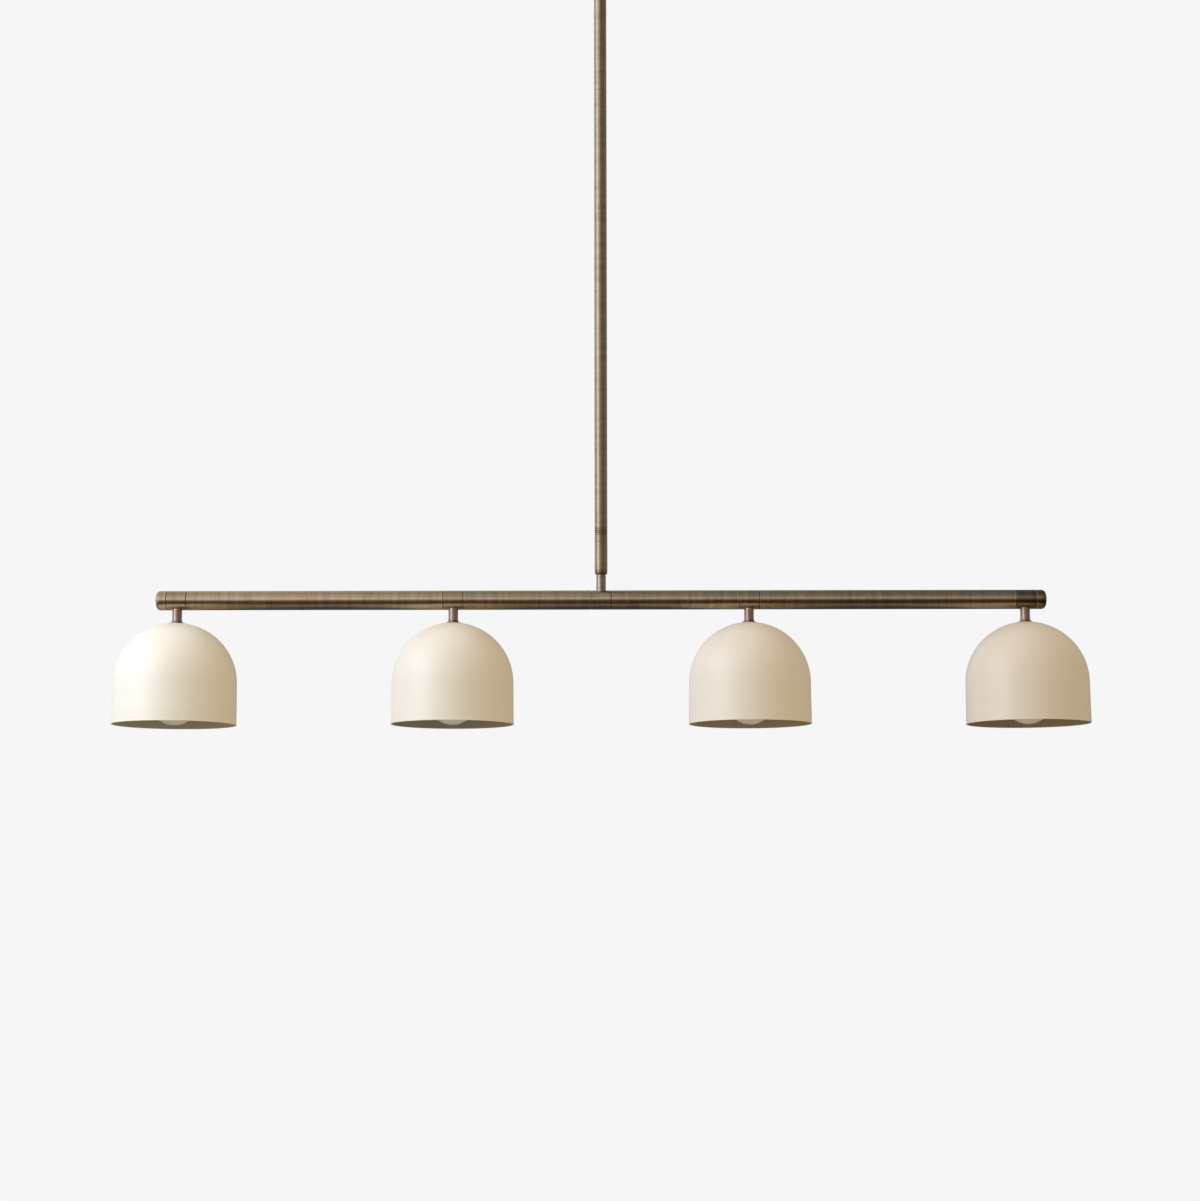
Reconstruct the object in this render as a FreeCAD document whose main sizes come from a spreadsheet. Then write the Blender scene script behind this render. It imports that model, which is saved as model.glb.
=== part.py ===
import FreeCAD, Part
import math
import os
import types

import Sketcher

# Linear island pendant: a canopy and a hang-straight swivel at the ceiling, a straight stem,
# a level bar of brass tubes and hubs, and four domed metal shades under the bar.
# Frame: +Z up, the ceiling is z = 0 and the middle of the ceiling fixing is the origin.
# The bar lies along X and the front of the pendant faces -Y. All sizes are in millimetres.

DRIVING = {
    # ceiling fixing and canopy
    "strap_length": (108, "steel strap across the ceiling box"),
    "strap_width": (22, "strap width"),
    "strap_thickness": (2.5, "strap thickness"),
    "box_screw_spacing": (88.9, "distance between the two box screws"),
    "box_slot_width": (4.8, "slot for a box screw"),
    "box_slot_length": (12, "slot length, end to end"),
    "stud_spacing": (60, "distance between the canopy studs"),
    "stud_width": (4, "canopy stud and ground screw"),
    "stud_play": (0.2, "radial room round a stud in the canopy"),
    "ground_screw_place": (19, "ground screw from the middle of the strap"),
    "ground_head_width": (7, "ground screw head"),
    "ground_head_height": (2.4, "ground screw head"),
    "canopy_width": (130, "outside diameter"),
    "canopy_depth": (26, "outside depth"),
    "canopy_wall": (1.2, "sheet thickness"),
    "canopy_corner": (6, "outside corner radius"),
    "cap_nut_width": (10, "cap nut under the canopy"),
    "cap_nut_height": (6, "straight part of the cap nut"),
    "cap_nut_crown": (1.8, "dome of the cap nut"),
    "cap_nut_thread": (5, "thread depth in the cap nut"),
    # threaded pipe used all through, and the nuts on it
    "nipple_width": (10, "threaded pipe, outside"),
    "nipple_bore": (7.5, "threaded pipe, inside"),
    "nut_across": (14, "nut on the pipe, across the flats"),
    "nut_thickness": (3, "nut on the pipe"),
    # clearances
    "fit_gap": (0.05, "radial clearance of a fitted or threaded joint"),
    "joint_gap": (0.3, "clearance between faces that move past each other"),
    # swivel
    "cup_width": (22, "swivel cup"),
    "cup_height": (18, "swivel cup"),
    "cup_bore": (15, "inside of the swivel cup"),
    "cup_floor": (3, "floor of the swivel cup"),
    "bush_height": (8, "threaded bush in the top of the cup"),
    "shank_width": (10, "shank of the fork, turning in the cup floor"),
    "shank_bore": (7, "wire way through the shank"),
    "shank_nut_width": (13, "round nut that carries the fork"),
    "shank_nut_height": (4, "round nut that carries the fork"),
    "fork_width": (16, "fork and arms, along the bar"),
    "fork_depth": (18, "fork over both arms"),
    "fork_base": (5, "solid part above the slot"),
    "fork_slot": (8.8, "slot between the arms"),
    "pin_width": (5, "knuckle pin"),
    "pin_drop": (10, "pin below the floor of the slot"),
    "pin_head_width": (8, "head of the pin"),
    "pin_head_height": (2.2, "head of the pin"),
    "pin_tail_width": (6.8, "riveted end of the pin"),
    "pin_tail_height": (1.2, "riveted end of the pin"),
    "tongue_width": (14, "tongue, along the bar"),
    "shoulder_drop": (11, "shoulder of the tongue below the pin"),
    "collar_height": (3, "collar that meets the stem"),
    "tongue_spigot": (12, "part of the tongue inside the stem"),
    "wire_port": (5, "side hole where the leads leave the tongue"),
    # stem
    "stem_width": (16, "stem tube, outside"),
    "stem_wall": (1.5, "stem tube wall"),
    "stem_upper_length": (150, "upper stem tube"),
    "stem_lower_length": (579, "lower stem tube"),
    "ferrule_length": (54.2, "short tube at the foot of the stem"),
    "ferrule_round": (1.4, "rounded foot of the ferrule"),
    "stem_reveal": (20.4, "neck showing between ferrule and bar"),
    "insert_length": (15, "threaded insert in a stem tube end"),
    "coupling_length": (24, "pipe across a stem joint"),
    "ring_inset": (3, "turned ring each side of the ferrule joint"),
    "ring_lower": (13.8, "second turned ring on the ferrule"),
    "ring_depth": (0.35, "depth of a turned ring"),
    "undercut_height": (1.4, "shadow groove at the top of the stem neck"),
    "undercut_depth": (0.5, "shadow groove at the top of the stem neck"),
    # bar
    "bar_width": (24, "bar tubes, hubs and end caps, outside"),
    "bar_wall": (1.5, "bar tube wall"),
    "hub_length": (24.5, "visible length of a hub"),
    "hub_bore": (11, "wire way through the hubs"),
    "spigot_length": (10, "part of a hub inside a tube"),
    "outer_tube_length": (320, "tube between the outer and inner hubs"),
    "inner_tube_length": (160, "tube between an inner hub and the tee hub"),
    "cap_length": (13.5, "end cap"),
    "cap_round": (5, "rounded outer edge of an end cap"),
    "edge_break": (0.5, "small bevel where bar and stem pieces meet"),
    "seat_depth": (2, "flat-bottomed seat of a neck, below the crown of its hub"),
    "seat_play": (0.2, "radial room round a neck in its seat"),
    "screw_width": (3, "grub screws in the back of the bar"),
    "screw_length": (3.4, "grub screw"),
    "screw_sunk": (0.2, "grub screw below the surface of the tube"),
    "screw_inset": (5, "grub screw from the face of its hub"),
    "screw_key": (1.5, "hexagon key socket in a grub screw"),
    # necks and shades
    "neck_wall": (0.95, "wall of a neck round its pipe"),
    "lamp_reveal": (17.3, "neck showing between the bar and a shade"),
    "foot_flare": (3.3, "radius of the flared foot on a shade"),
    "foot_edge": (0.4, "thickness of the foot at its edge"),
    "shade_width": (152.4, "over the rim"),
    "shade_height": (126, "crown to rim"),
    "shade_wall": (1.2, "sheet thickness"),
    "dome_width": (150.8, "dome at its widest"),
    "crown_width": (24, "flat on the crown"),
    "hem_height": (2, "hem at the rim"),
    "hem_stand": (0.3, "hem proud of the side"),
    # sockets and bulbs
    "boss_width": (18, "threaded boss of a socket cap"),
    "boss_height": (4, "threaded boss of a socket cap"),
    "socket_cap_plate": (1, "top plate of a socket cap"),
    "socket_cap_skirt": (5, "skirt of a socket cap over the body"),
    "socket_cap_wall": (0.8, "skirt thickness"),
    "socket_width": (38, "porcelain body"),
    "socket_neck": (33, "porcelain body inside the cap"),
    "socket_recess": (3, "wiring recess in the top of the body"),
    "socket_web": (4.3, "web that carries the contact"),
    "socket_skirt": (30.2, "body below the web"),
    "socket_shell_wall": (0.6, "screw shell"),
    "socket_shell_length": (28, "screw shell"),
    "contact_width": (10, "contact plate"),
    "contact_plate": (0.8, "contact plate thickness"),
    "contact_height": (1.7, "contact below the web"),
    "contact_nub": (6, "raised middle of the contact"),
    "contact_tag": (3, "tag through the web"),
    "base_width": (26.2, "bulb base over the thread"),
    "base_length": (27, "bulb base"),
    "base_wall": (0.4, "bulb base at the root of the thread"),
    "thread_depth": (0.4, "bulb thread"),
    "thread_pitch": (3.63, "bulb thread"),
    "bulb_width": (60, "widest part of the glass"),
    "bulb_length": (108, "tip of the base to the end of the glass"),
    "bulb_wall": (0.8, "glass thickness"),
    "bulb_neck_length": (30, "tip of the base to the start of the flare"),
    "bulb_neck_inside": (3, "glass held inside the base"),
    # wires
    "lead_width": (3.2, "twin lead, outside"),
    "lead_bend": (6, "bend of a lead, to its middle"),
    "lead_spread": (0.2, "room between two leads side by side"),
    "sleeve_width": (10, "splice sleeve in the bar"),
    "sleeve_wall": (0.7, "splice sleeve"),
    "sleeve_length": (18, "splice sleeve"),
    "sleeve_place": (14, "middle of the sleeve beyond the tee hub's spigot"),
}

THREAD_RIDGES = 5
LEFT, RIGHT = 1, -1
VOLUME_TOLERANCE = 1e-3


class Length:
    """A size: its number, and the expression that ties it to the sheet."""

    def __init__(self, value, text):
        self.value = value
        self.text = text

    def __add__(self, other):
        other = as_length(other)
        return Length(self.value + other.value, f"({self.text} + {other.text})")

    def __sub__(self, other):
        other = as_length(other)
        return Length(self.value - other.value, f"({self.text} - {other.text})")

    def __mul__(self, other):
        other = as_length(other)
        return Length(self.value * other.value, f"({self.text} * {other.text})")

    def __truediv__(self, other):
        other = as_length(other)
        return Length(self.value / other.value, f"({self.text} / {other.text})")

    def __rsub__(self, other):
        return as_length(other) - self

    def __neg__(self):
        return Length(-self.value, f"(-1 * {self.text})")

    __radd__ = __add__
    __rmul__ = __mul__

    @property
    def bound(self):
        return "Sizes." in self.text


def as_length(number):
    return number if isinstance(number, Length) else Length(float(number), f"({float(number)!r})")


def root(length):
    return Length(math.sqrt(length.value), f"sqrt({length.text})")


def write_sheet():
    """Put each driving dimension in a named cell, and give them back as Lengths."""
    sheet = doc.addObject("Spreadsheet::Sheet", "Sizes")
    lengths = {}
    for row, (alias, (value, note)) in enumerate(DRIVING.items(), start=1):
        sheet.set(f"A{row}", note)
        sheet.set(f"B{row}", str(value))
        sheet.setAlias(f"B{row}", alias)
        lengths[alias] = Length(float(value), f"Sizes.{alias}")
    doc.recompute()
    return types.SimpleNamespace(**lengths)


# ---- building blocks ------------------------------------------------------------------------

ABOUT_X = FreeCAD.Rotation(FreeCAD.Vector(1, 0, 0), 180)
ABOUT_Y = FreeCAD.Rotation(FreeCAD.Vector(0, 1, 0), 180)
ABOUT_Z = FreeCAD.Rotation(FreeCAD.Vector(0, 0, 1), 180)
UPRIGHT = FreeCAD.Rotation()
ALONG = {
    "X": FreeCAD.Rotation(FreeCAD.Vector(0, 1, 0), 90),
    "Y": FreeCAD.Rotation(FreeCAD.Vector(1, 0, 0), -90),
    "Z": UPRIGHT,
}


def set_size(thing, name, length):
    """Set a property from a length, and bind it if the length comes from the sheet."""
    length = as_length(length)
    setattr(thing, name, length.value)
    if length.bound:
        thing.setExpression(name, length.text)


def place(thing, at, turn=UPRIGHT):
    """Turn a thing and put its own origin at a point bound to the sheet."""
    spot = [as_length(part) for part in at]
    thing.Placement = FreeCAD.Placement(FreeCAD.Vector(*[part.value for part in spot]), turn)
    for axis, part in zip("xyz", spot):
        if part.bound:
            thing.setExpression(f".Placement.Base.{axis}", part.text)


def rod(name, radius, length, at, along="Z"):
    """A cylinder that starts at a point and runs along one of the axes."""
    piece = doc.addObject("Part::Cylinder", name)
    set_size(piece, "Radius", radius)
    set_size(piece, "Height", length)
    place(piece, at, ALONG[along])
    return piece


def block(name, sides, middle, top):
    """A box centred on a point in X and Y, with its top face at a height."""
    piece = doc.addObject("Part::Box", name)
    length, width, height = sides
    set_size(piece, "Length", length)
    set_size(piece, "Width", width)
    set_size(piece, "Height", height)
    place(piece, (middle[0] - length / 2, middle[1] - width / 2, top - height))
    return piece


def hexagon(name, across, height, at, along="Z"):
    """A six-sided bar, given by the distance across its flats."""
    piece = doc.addObject("Part::Prism", name)
    piece.Polygon = 6
    set_size(piece, "Circumradius", across / math.sqrt(3))
    set_size(piece, "Height", height)
    place(piece, at, ALONG[along])
    return piece


def fused(name, pieces):
    joined = doc.addObject("Part::MultiFuse", name)
    joined.Shapes = pieces
    return joined


def cut(name, blank, tools):
    """A blank with one or more tools taken out of it."""
    result = doc.addObject("Part::Cut", name)
    result.Base = blank
    result.Tool = tools[0] if len(tools) == 1 else fused(name + "_cutters", tools)
    return result


def group(name, pieces):
    """Like pieces that share a node, each still a solid of its own."""
    together = doc.addObject("Part::Compound", name)
    together.Links = pieces
    return together


def arc_between(start, end, radius, side):
    """The short arc from start to end that turns to the left or to the right."""
    chord = end - start
    rise = math.sqrt(max(radius**2 - (chord.Length / 2) ** 2, 0))
    normal = FreeCAD.Vector(-chord.y, chord.x, 0).normalize()
    centre = (start + end) / 2 + normal * (side * rise)
    first, last = (start, end) if side == LEFT else (end, start)
    angles = [math.atan2(point.y - centre.y, point.x - centre.x) for point in (first, last)]
    return Part.ArcOfCircle(Part.Circle(centre, FreeCAD.Vector(0, 0, 1), radius), *angles)


def sketch_on(body, name, role):
    """An empty sketch on one of the body's own origin planes."""
    sketch = body.newObject("Sketcher::SketchObject", name)
    plane = next(item for item in body.Origin.OriginFeatures if item.Role == role)
    sketch.AttachmentSupport = [(plane, "")]
    sketch.MapMode = "FlatFace"
    return sketch


def draw(sketch, corners, swap=False, closed=True):
    """Draw an outline and bind every corner to the sheet.

    A corner is (across, up), or (across, up, radius, side) where an arc leaves it. With swap,
    the corner's first number is measured up the sketch and its second across it.
    """
    points = []
    for corner in corners:
        pair = [as_length(part) for part in corner[:2]]
        points.append(pair[::-1] if swap else pair)
    spots = [FreeCAD.Vector(across.value, up.value, 0) for across, up in points]
    count = len(points)
    constraints = []
    bindings = {}

    def bind_last(length):
        if length.bound:
            bindings[len(constraints) - 1] = length.text

    edges = []
    for index in range(count if closed else count - 1):
        start, end = spots[index], spots[(index + 1) % count]
        if len(corners[index]) == 4:
            radius = as_length(corners[index][2])
            side = -corners[index][3] if swap else corners[index][3]
            edge = sketch.addGeometry(arc_between(start, end, radius.value, side))
            edges.append((edge, 1, 2) if side == LEFT else (edge, 2, 1))
            constraints.append(Sketcher.Constraint("Radius", edge, radius.value))
            bind_last(radius)
        else:
            edge = sketch.addGeometry(Part.LineSegment(start, end))
            edges.append((edge, 1, 2))

    ends = [(edge, first) for edge, first, last in edges]
    if not closed:
        ends.append((edges[-1][0], edges[-1][2]))
    for index, (edge, end) in enumerate(ends):
        if closed or 0 < index < count - 1:
            before, _, last = edges[index - 1]
            constraints.append(Sketcher.Constraint("Coincident", before, last, edge, end))
        for axis, line, length in zip("XY", (-2, -1), points[index]):
            if length.value == 0:
                constraints.append(Sketcher.Constraint("PointOnObject", edge, end, line))
            else:
                rule = Sketcher.Constraint(f"Distance{axis}", -1, 1, edge, end, length.value)
                constraints.append(rule)
                bind_last(length)
    sketch.addConstraint(constraints)
    for number, text in bindings.items():
        sketch.setExpression(f"Constraints[{number}]", text)


def turned(name, outline, along="Z", at=(0, 0, 0), turn=UPRIGHT):
    """A piece turned about X or Z from an outline of (radius, place on the axis) corners."""
    body = doc.addObject("PartDesign::Body", name)
    sketch = sketch_on(body, name + "_outline", "XZ_Plane")
    draw(sketch, outline, swap=along == "X")
    solid = body.newObject("PartDesign::Revolution", name + "_turning")
    solid.Profile = sketch
    solid.ReferenceAxis = (sketch, ["V_Axis" if along == "Z" else "H_Axis"])
    solid.Angle = 360
    place(body, at, turn)
    return body


def ring(name, outer, inner, low, high, along="Z", at=(0, 0, 0)):
    """A plain turned ring or tube."""
    outline = [(inner, low), (outer, low), (outer, high), (inner, high)]
    return turned(name, outline, along, at)


# ---- sizes that follow from the driving ones ------------------------------------------------

doc = FreeCAD.newDocument("island_pendant")
size = write_sheet()

nipple_radius = size.nipple_width / 2
nipple_hole = nipple_radius + size.fit_gap
stud_radius = size.stud_width / 2
stud_hole = stud_radius + size.fit_gap

cup_top = -size.canopy_depth
cup_bottom = cup_top - size.cup_height
cup_floor_top = cup_bottom + size.cup_floor
bush_bottom = cup_top - size.bush_height
fork_top = cup_bottom - size.joint_gap
slot_floor = fork_top - size.fork_base
pin_height = slot_floor - size.pin_drop
shoulder = pin_height - size.shoulder_drop
stem_top = shoulder - size.collar_height
upper_joint = stem_top - size.stem_upper_length
ferrule_joint = upper_joint - size.stem_lower_length
stem_foot = ferrule_joint - size.ferrule_length
bar_radius = size.bar_width / 2
bar_height = stem_foot - size.stem_reveal - bar_radius

stem_radius = size.stem_width / 2
stem_bore = stem_radius - size.stem_wall
neck_radius = nipple_hole + size.neck_wall
seat_radius = neck_radius + size.seat_play
seat_height = bar_radius - size.seat_depth

half_hub = size.hub_length / 2
bar_bore = bar_radius - size.bar_wall
spigot_radius = bar_bore - size.fit_gap
spigot_end = half_hub + size.spigot_length
hub_bore_radius = size.hub_bore / 2
inner_place = size.inner_tube_length + size.hub_length
outer_place = inner_place + size.outer_tube_length + size.hub_length
screw_hole = size.screw_width / 2 + size.fit_gap
screw_inner_end = bar_radius - size.screw_sunk - size.screw_length

# heights below the bar's middle line, at each lamp
crown = -(bar_radius + size.lamp_reveal)
crown_inside = crown - size.shade_wall
nut_bottom = crown_inside - size.nut_thickness
boss_bottom = nut_bottom - size.boss_height
body_top = boss_bottom - size.socket_cap_plate
recess_floor = body_top - size.socket_recess
web_bottom = recess_floor - size.socket_web
contact_bottom = web_bottom - size.contact_height
bulb_tip = contact_bottom - size.joint_gap
thread_engaged = body_top - size.socket_cap_plate
nipple_top = -(hub_bore_radius + size.edge_break)
socket_shell_inside = size.base_width / 2 + size.joint_gap
socket_shell_outside = socket_shell_inside + size.socket_shell_wall
socket_bore = socket_shell_outside + size.fit_gap * 2

lead_radius = size.lead_width / 2
lead_offset = lead_radius + size.lead_spread / 2
lead_pitch = lead_offset + size.lead_spread
sleeve_middle = spigot_end + size.sleeve_place

LAMPS = [
    (1, -1, outer_place, lead_pitch),
    (2, -1, inner_place, -lead_pitch),
    (3, 1, inner_place, -lead_pitch),
    (4, 1, outer_place, lead_pitch),
]


def lamp_spot(side, distance, height=0):
    """A point over a lamp: side is -1 on the left and 1 on the right."""
    return (distance * side, 0, bar_height + height)


# ---- ceiling fixing and canopy --------------------------------------------------------------


def box_slot(side):
    """A round-ended slot through the strap for one box screw."""
    middle = size.box_screw_spacing * (side / 2)
    radius = size.box_slot_width / 2
    half_run = size.box_slot_length / 2 - radius
    tag = "left" if side < 0 else "right"
    bottom = -size.strap_thickness
    straight = block(
        f"slot_{tag}", (half_run * 2, size.box_slot_width, size.strap_thickness), (middle, 0), as_length(0)
    )
    ends = [
        rod(f"slot_{tag}_{name}", radius, size.strap_thickness, (middle + shift, 0, bottom))
        for name, shift in (("near", half_run * -side), ("far", half_run * side))
    ]
    return [straight, *ends]


def make_crossbar():
    blank = block(
        "strap_blank", (size.strap_length, size.strap_width, size.strap_thickness), (0, 0), as_length(0)
    )
    bottom = -size.strap_thickness
    holes = [
        rod("strap_middle_hole", nipple_hole, size.strap_thickness, (0, 0, bottom)),
        rod("ground_hole", stud_hole, size.strap_thickness, (-size.ground_screw_place, 0, bottom)),
    ]
    for side in (-1, 1):
        holes += box_slot(side)
        spot = (size.stud_spacing * (side / 2), 0, bottom)
        holes.append(rod(f"strap_stud_hole_{side + 2}", stud_hole, size.strap_thickness, spot))
    return cut("crossbar", blank, holes)


def make_ground_screw():
    top = -size.strap_thickness
    outline = [
        (0, 0),
        (stud_radius, 0),
        (stud_radius, top),
        (size.ground_head_width / 2, top),
        (size.ground_head_width / 2, top - size.ground_head_height),
        (0, top - size.ground_head_height),
    ]
    return turned("ground_screw", outline, at=(-size.ground_screw_place, 0, 0))


def make_canopy():
    radius = size.canopy_width / 2
    bend = radius - size.canopy_corner
    bottom = -size.canopy_depth
    shell = turned(
        "canopy_shell",
        [
            (nipple_hole, bottom),
            (bend, bottom, size.canopy_corner, LEFT),
            (radius, bottom + size.canopy_corner),
            (radius, 0),
            (radius - size.canopy_wall, 0),
            (
                radius - size.canopy_wall,
                bottom + size.canopy_corner,
                size.canopy_corner - size.canopy_wall,
                RIGHT,
            ),
            (bend, bottom + size.canopy_wall),
            (nipple_hole, bottom + size.canopy_wall),
        ],
    )
    holes = [
        rod(
            f"canopy_stud_hole_{side + 2}",
            stud_radius + size.stud_play,
            size.canopy_wall,
            (size.stud_spacing * (side / 2), 0, bottom),
        )
        for side in (-1, 1)
    ]
    return cut("canopy", shell, holes)


def make_canopy_studs():
    length = size.canopy_depth + size.cap_nut_thread - size.joint_gap
    return group(
        "canopy_studs",
        [
            rod(f"canopy_stud_{side + 2}", stud_radius, length, (size.stud_spacing * (side / 2), 0, -length))
            for side in (-1, 1)
        ],
    )


def make_cap_nuts():
    radius = size.cap_nut_width / 2
    crown_rise = size.cap_nut_crown
    crown_radius = (radius * radius + crown_rise * crown_rise) / (crown_rise * 2)
    top = -size.canopy_depth
    edge = top - size.cap_nut_height
    nuts = []
    for side in (-1, 1):
        outline = [
            (stud_hole, top),
            (radius, top),
            (radius, edge, crown_radius, RIGHT),
            (0, edge - crown_rise),
            (0, top - size.cap_nut_thread),
            (stud_hole, top - size.cap_nut_thread),
        ]
        nuts.append(turned(f"cap_nut_{side + 2}", outline, at=(size.stud_spacing * (side / 2), 0, 0)))
    return group("canopy_cap_nuts", nuts)


def pipe_nut(name, at):
    """A hexagon nut for the threaded pipe, hanging down from a point."""
    low = (at[0], at[1], at[2] - size.nut_thickness)
    blank = hexagon(name + "_blank", size.nut_across, size.nut_thickness, low)
    return cut(name, blank, [rod(name + "_thread", nipple_hole, size.nut_thickness, low)])


# ---- swivel ---------------------------------------------------------------------------------


def make_swivel_cup():
    outline = [
        (size.shank_width / 2 + size.fit_gap, cup_bottom),
        (size.cup_width / 2 - size.edge_break, cup_bottom),
        (size.cup_width / 2, cup_bottom + size.edge_break),
        (size.cup_width / 2, cup_top),
        (size.cup_bore / 2 + size.fit_gap, cup_top),
        (size.cup_bore / 2 + size.fit_gap, cup_floor_top),
        (size.shank_width / 2 + size.fit_gap, cup_floor_top),
    ]
    return turned("swivel_cup", outline)


def make_swivel_fork():
    half_width = size.fork_width / 2
    arms_height = size.fork_base + size.pin_drop
    shank_top = cup_floor_top + size.fit_gap + size.shank_nut_height
    stock = [
        block("fork_stock", (size.fork_width, size.fork_depth, arms_height), (0, 0), fork_top),
        rod(
            "fork_ends",
            half_width,
            size.fork_depth,
            (0, size.fork_depth * -0.5, pin_height),
            along="Y",
        ),
        rod("fork_shank", size.shank_width / 2, shank_top - fork_top, (0, 0, fork_top)),
    ]
    slot_depth = size.pin_drop + size.fork_width
    tools = [
        block("fork_gap", (size.fork_width * 2, size.fork_slot, slot_depth), (0, 0), slot_floor),
        rod(
            "fork_pin_hole",
            size.pin_width / 2 + size.fit_gap,
            size.fork_depth,
            (0, size.fork_depth * -0.5, pin_height),
            along="Y",
        ),
        rod("fork_wire_way", size.shank_bore / 2, shank_top - slot_floor, (0, 0, slot_floor)),
    ]
    return cut("swivel_fork", fused("fork_blank", stock), tools)


def make_swivel_pin():
    half_depth = size.fork_depth / 2
    pieces = [
        rod("pin_shaft", size.pin_width / 2, size.fork_depth, (0, -half_depth, pin_height), along="Y"),
        rod(
            "pin_head",
            size.pin_head_width / 2,
            size.pin_head_height,
            (0, -half_depth - size.pin_head_height, pin_height),
            along="Y",
        ),
        rod(
            "pin_tail",
            size.pin_tail_width / 2,
            size.pin_tail_height,
            (0, half_depth, pin_height),
            along="Y",
        ),
    ]
    return fused("swivel_pin", pieces)


def make_swivel_tongue():
    half_width = size.tongue_width / 2
    thickness = size.fork_slot - size.joint_gap * 2
    spigot = size.tongue_spigot
    port_height = shoulder + size.wire_port / 2
    bore_top = port_height + size.wire_port / 2
    stock = [
        block("tongue_stock", (size.tongue_width, thickness, size.shoulder_drop), (0, 0), pin_height),
        rod("tongue_end", half_width, thickness, (0, thickness * -0.5, pin_height), along="Y"),
        rod("tongue_collar", stem_radius, size.collar_height, (0, 0, stem_top)),
        rod("tongue_spigot", stem_bore - size.fit_gap, spigot, (0, 0, stem_top - spigot)),
    ]
    tools = [
        rod(
            "tongue_pin_hole",
            size.pin_width / 2 + size.fit_gap,
            thickness,
            (0, thickness * -0.5, pin_height),
            along="Y",
        ),
        rod(
            "tongue_wire_way",
            size.shank_bore / 2,
            bore_top - stem_top + spigot,
            (0, 0, stem_top - spigot),
        ),
        rod("tongue_port", size.wire_port / 2, size.tongue_width, (0, 0, port_height), along="X"),
    ]
    return cut("swivel_tongue", fused("tongue_blank", stock), tools)


# ---- stem -----------------------------------------------------------------------------------


def turned_ring(radius, height):
    """Three corners of a fine ring turned into a stem tube, read downwards."""
    half = size.ring_depth
    return [(radius, height + half), (radius - size.ring_depth, height), (radius, height - half)]


def stem_tube(name, top, bottom, rings=(), foot=None):
    """A stem tube with bevelled ends, fine rings, and perhaps a rounded foot."""
    outline = [(stem_bore, top), (stem_radius - size.edge_break, top), (stem_radius, top - size.edge_break)]
    for height in rings:
        outline += turned_ring(stem_radius, height)
    if foot is None:
        outline += [(stem_radius, bottom + size.edge_break), (stem_radius - size.edge_break, bottom)]
    else:
        outline += [(stem_radius, bottom + foot, foot, RIGHT), (stem_radius - foot, bottom)]
    outline.append((stem_bore, bottom))
    return turned(name, outline)


def make_stem_inserts():
    tops = [
        upper_joint + size.insert_length,
        upper_joint,
        ferrule_joint + size.insert_length,
        ferrule_joint,
        stem_foot + size.insert_length,
    ]
    outside = stem_bore - size.fit_gap
    return group(
        "stem_inserts",
        [
            ring(f"stem_insert_{number}", outside, nipple_hole, top - size.insert_length, top)
            for number, top in enumerate(tops, start=1)
        ],
    )


def make_stem_nipples():
    half = size.coupling_length / 2
    spans = [
        (upper_joint + half, upper_joint - half),
        (ferrule_joint + half, ferrule_joint - half),
        (stem_foot + half, bar_height - nipple_top),
    ]
    return group(
        "stem_nipples",
        [
            ring(f"stem_nipple_{number}", nipple_radius, size.nipple_bore / 2, bottom, top)
            for number, (top, bottom) in enumerate(spans, start=1)
        ],
    )


def make_stem_neck():
    groove = neck_radius - size.undercut_depth
    outline = [
        (nipple_hole, bar_height + seat_height),
        (neck_radius, bar_height + seat_height),
        (neck_radius, stem_foot - size.undercut_height),
        (groove, stem_foot - size.undercut_height + size.undercut_depth),
        (groove, stem_foot),
        (nipple_hole, stem_foot),
    ]
    return turned("stem_neck", outline)


# ---- bar ------------------------------------------------------------------------------------


def back_hole(name, place_x, inner_end):
    """The hole for one grub screw, through the back of the bar."""
    length = bar_radius - inner_end + size.edge_break
    return rod(name, screw_hole, length, (place_x, inner_end, bar_height), along="Y")


def make_hub(name, side, distance, neck_side):
    """A hub with a spigot each way and the seat of one neck above (1) or below (-1)."""
    outline = [
        (hub_bore_radius, -spigot_end),
        (spigot_radius, -spigot_end),
        (spigot_radius, -half_hub),
        (bar_radius - size.edge_break, -half_hub),
        (bar_radius, size.edge_break - half_hub),
        (bar_radius, half_hub - size.edge_break),
        (bar_radius - size.edge_break, half_hub),
        (spigot_radius, half_hub),
        (spigot_radius, spigot_end),
        (hub_bore_radius, spigot_end),
    ]
    blank = turned(name + "_blank", outline, "X", lamp_spot(side, distance))
    outside = (bar_radius + size.edge_break) * neck_side
    seat = seat_height * neck_side
    corners = [
        (0, 0),
        (nipple_hole, 0),
        (nipple_hole, seat),
        (seat_radius, seat),
        (seat_radius, outside),
        (0, outside),
    ]
    sketch = sketch_on(blank, name + "_seat", "XZ_Plane")
    draw(sketch, corners)
    seating = blank.newObject("PartDesign::Groove", name + "_seating")
    seating.Profile = sketch
    seating.ReferenceAxis = (sketch, ["V_Axis"])
    seating.Angle = 360
    blind_end = screw_inner_end - size.screw_sunk
    holes = [
        back_hole(f"{name}_hole_{end + 2}", distance * side + (half_hub + size.screw_inset) * end, blind_end)
        for end in (-1, 1)
    ]
    return cut(name, blank, holes)


def make_bar_tube(name, side, near, far):
    """A tube of the bar from near to far, measured outwards from the stem."""
    low, high = sorted((near * side, far * side), key=lambda end: end.value)
    outline = [
        (bar_bore, low),
        (bar_radius - size.edge_break, low),
        (bar_radius, low + size.edge_break),
        (bar_radius, high - size.edge_break),
        (bar_radius - size.edge_break, high),
        (bar_bore, high),
    ]
    blank = turned(name + "_blank", outline, "X", (0, 0, bar_height))
    holes = [
        back_hole(f"{name}_hole_1", low + size.screw_inset, screw_inner_end),
        back_hole(f"{name}_hole_2", high - size.screw_inset, screw_inner_end),
    ]
    return cut(name, blank, holes)


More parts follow.
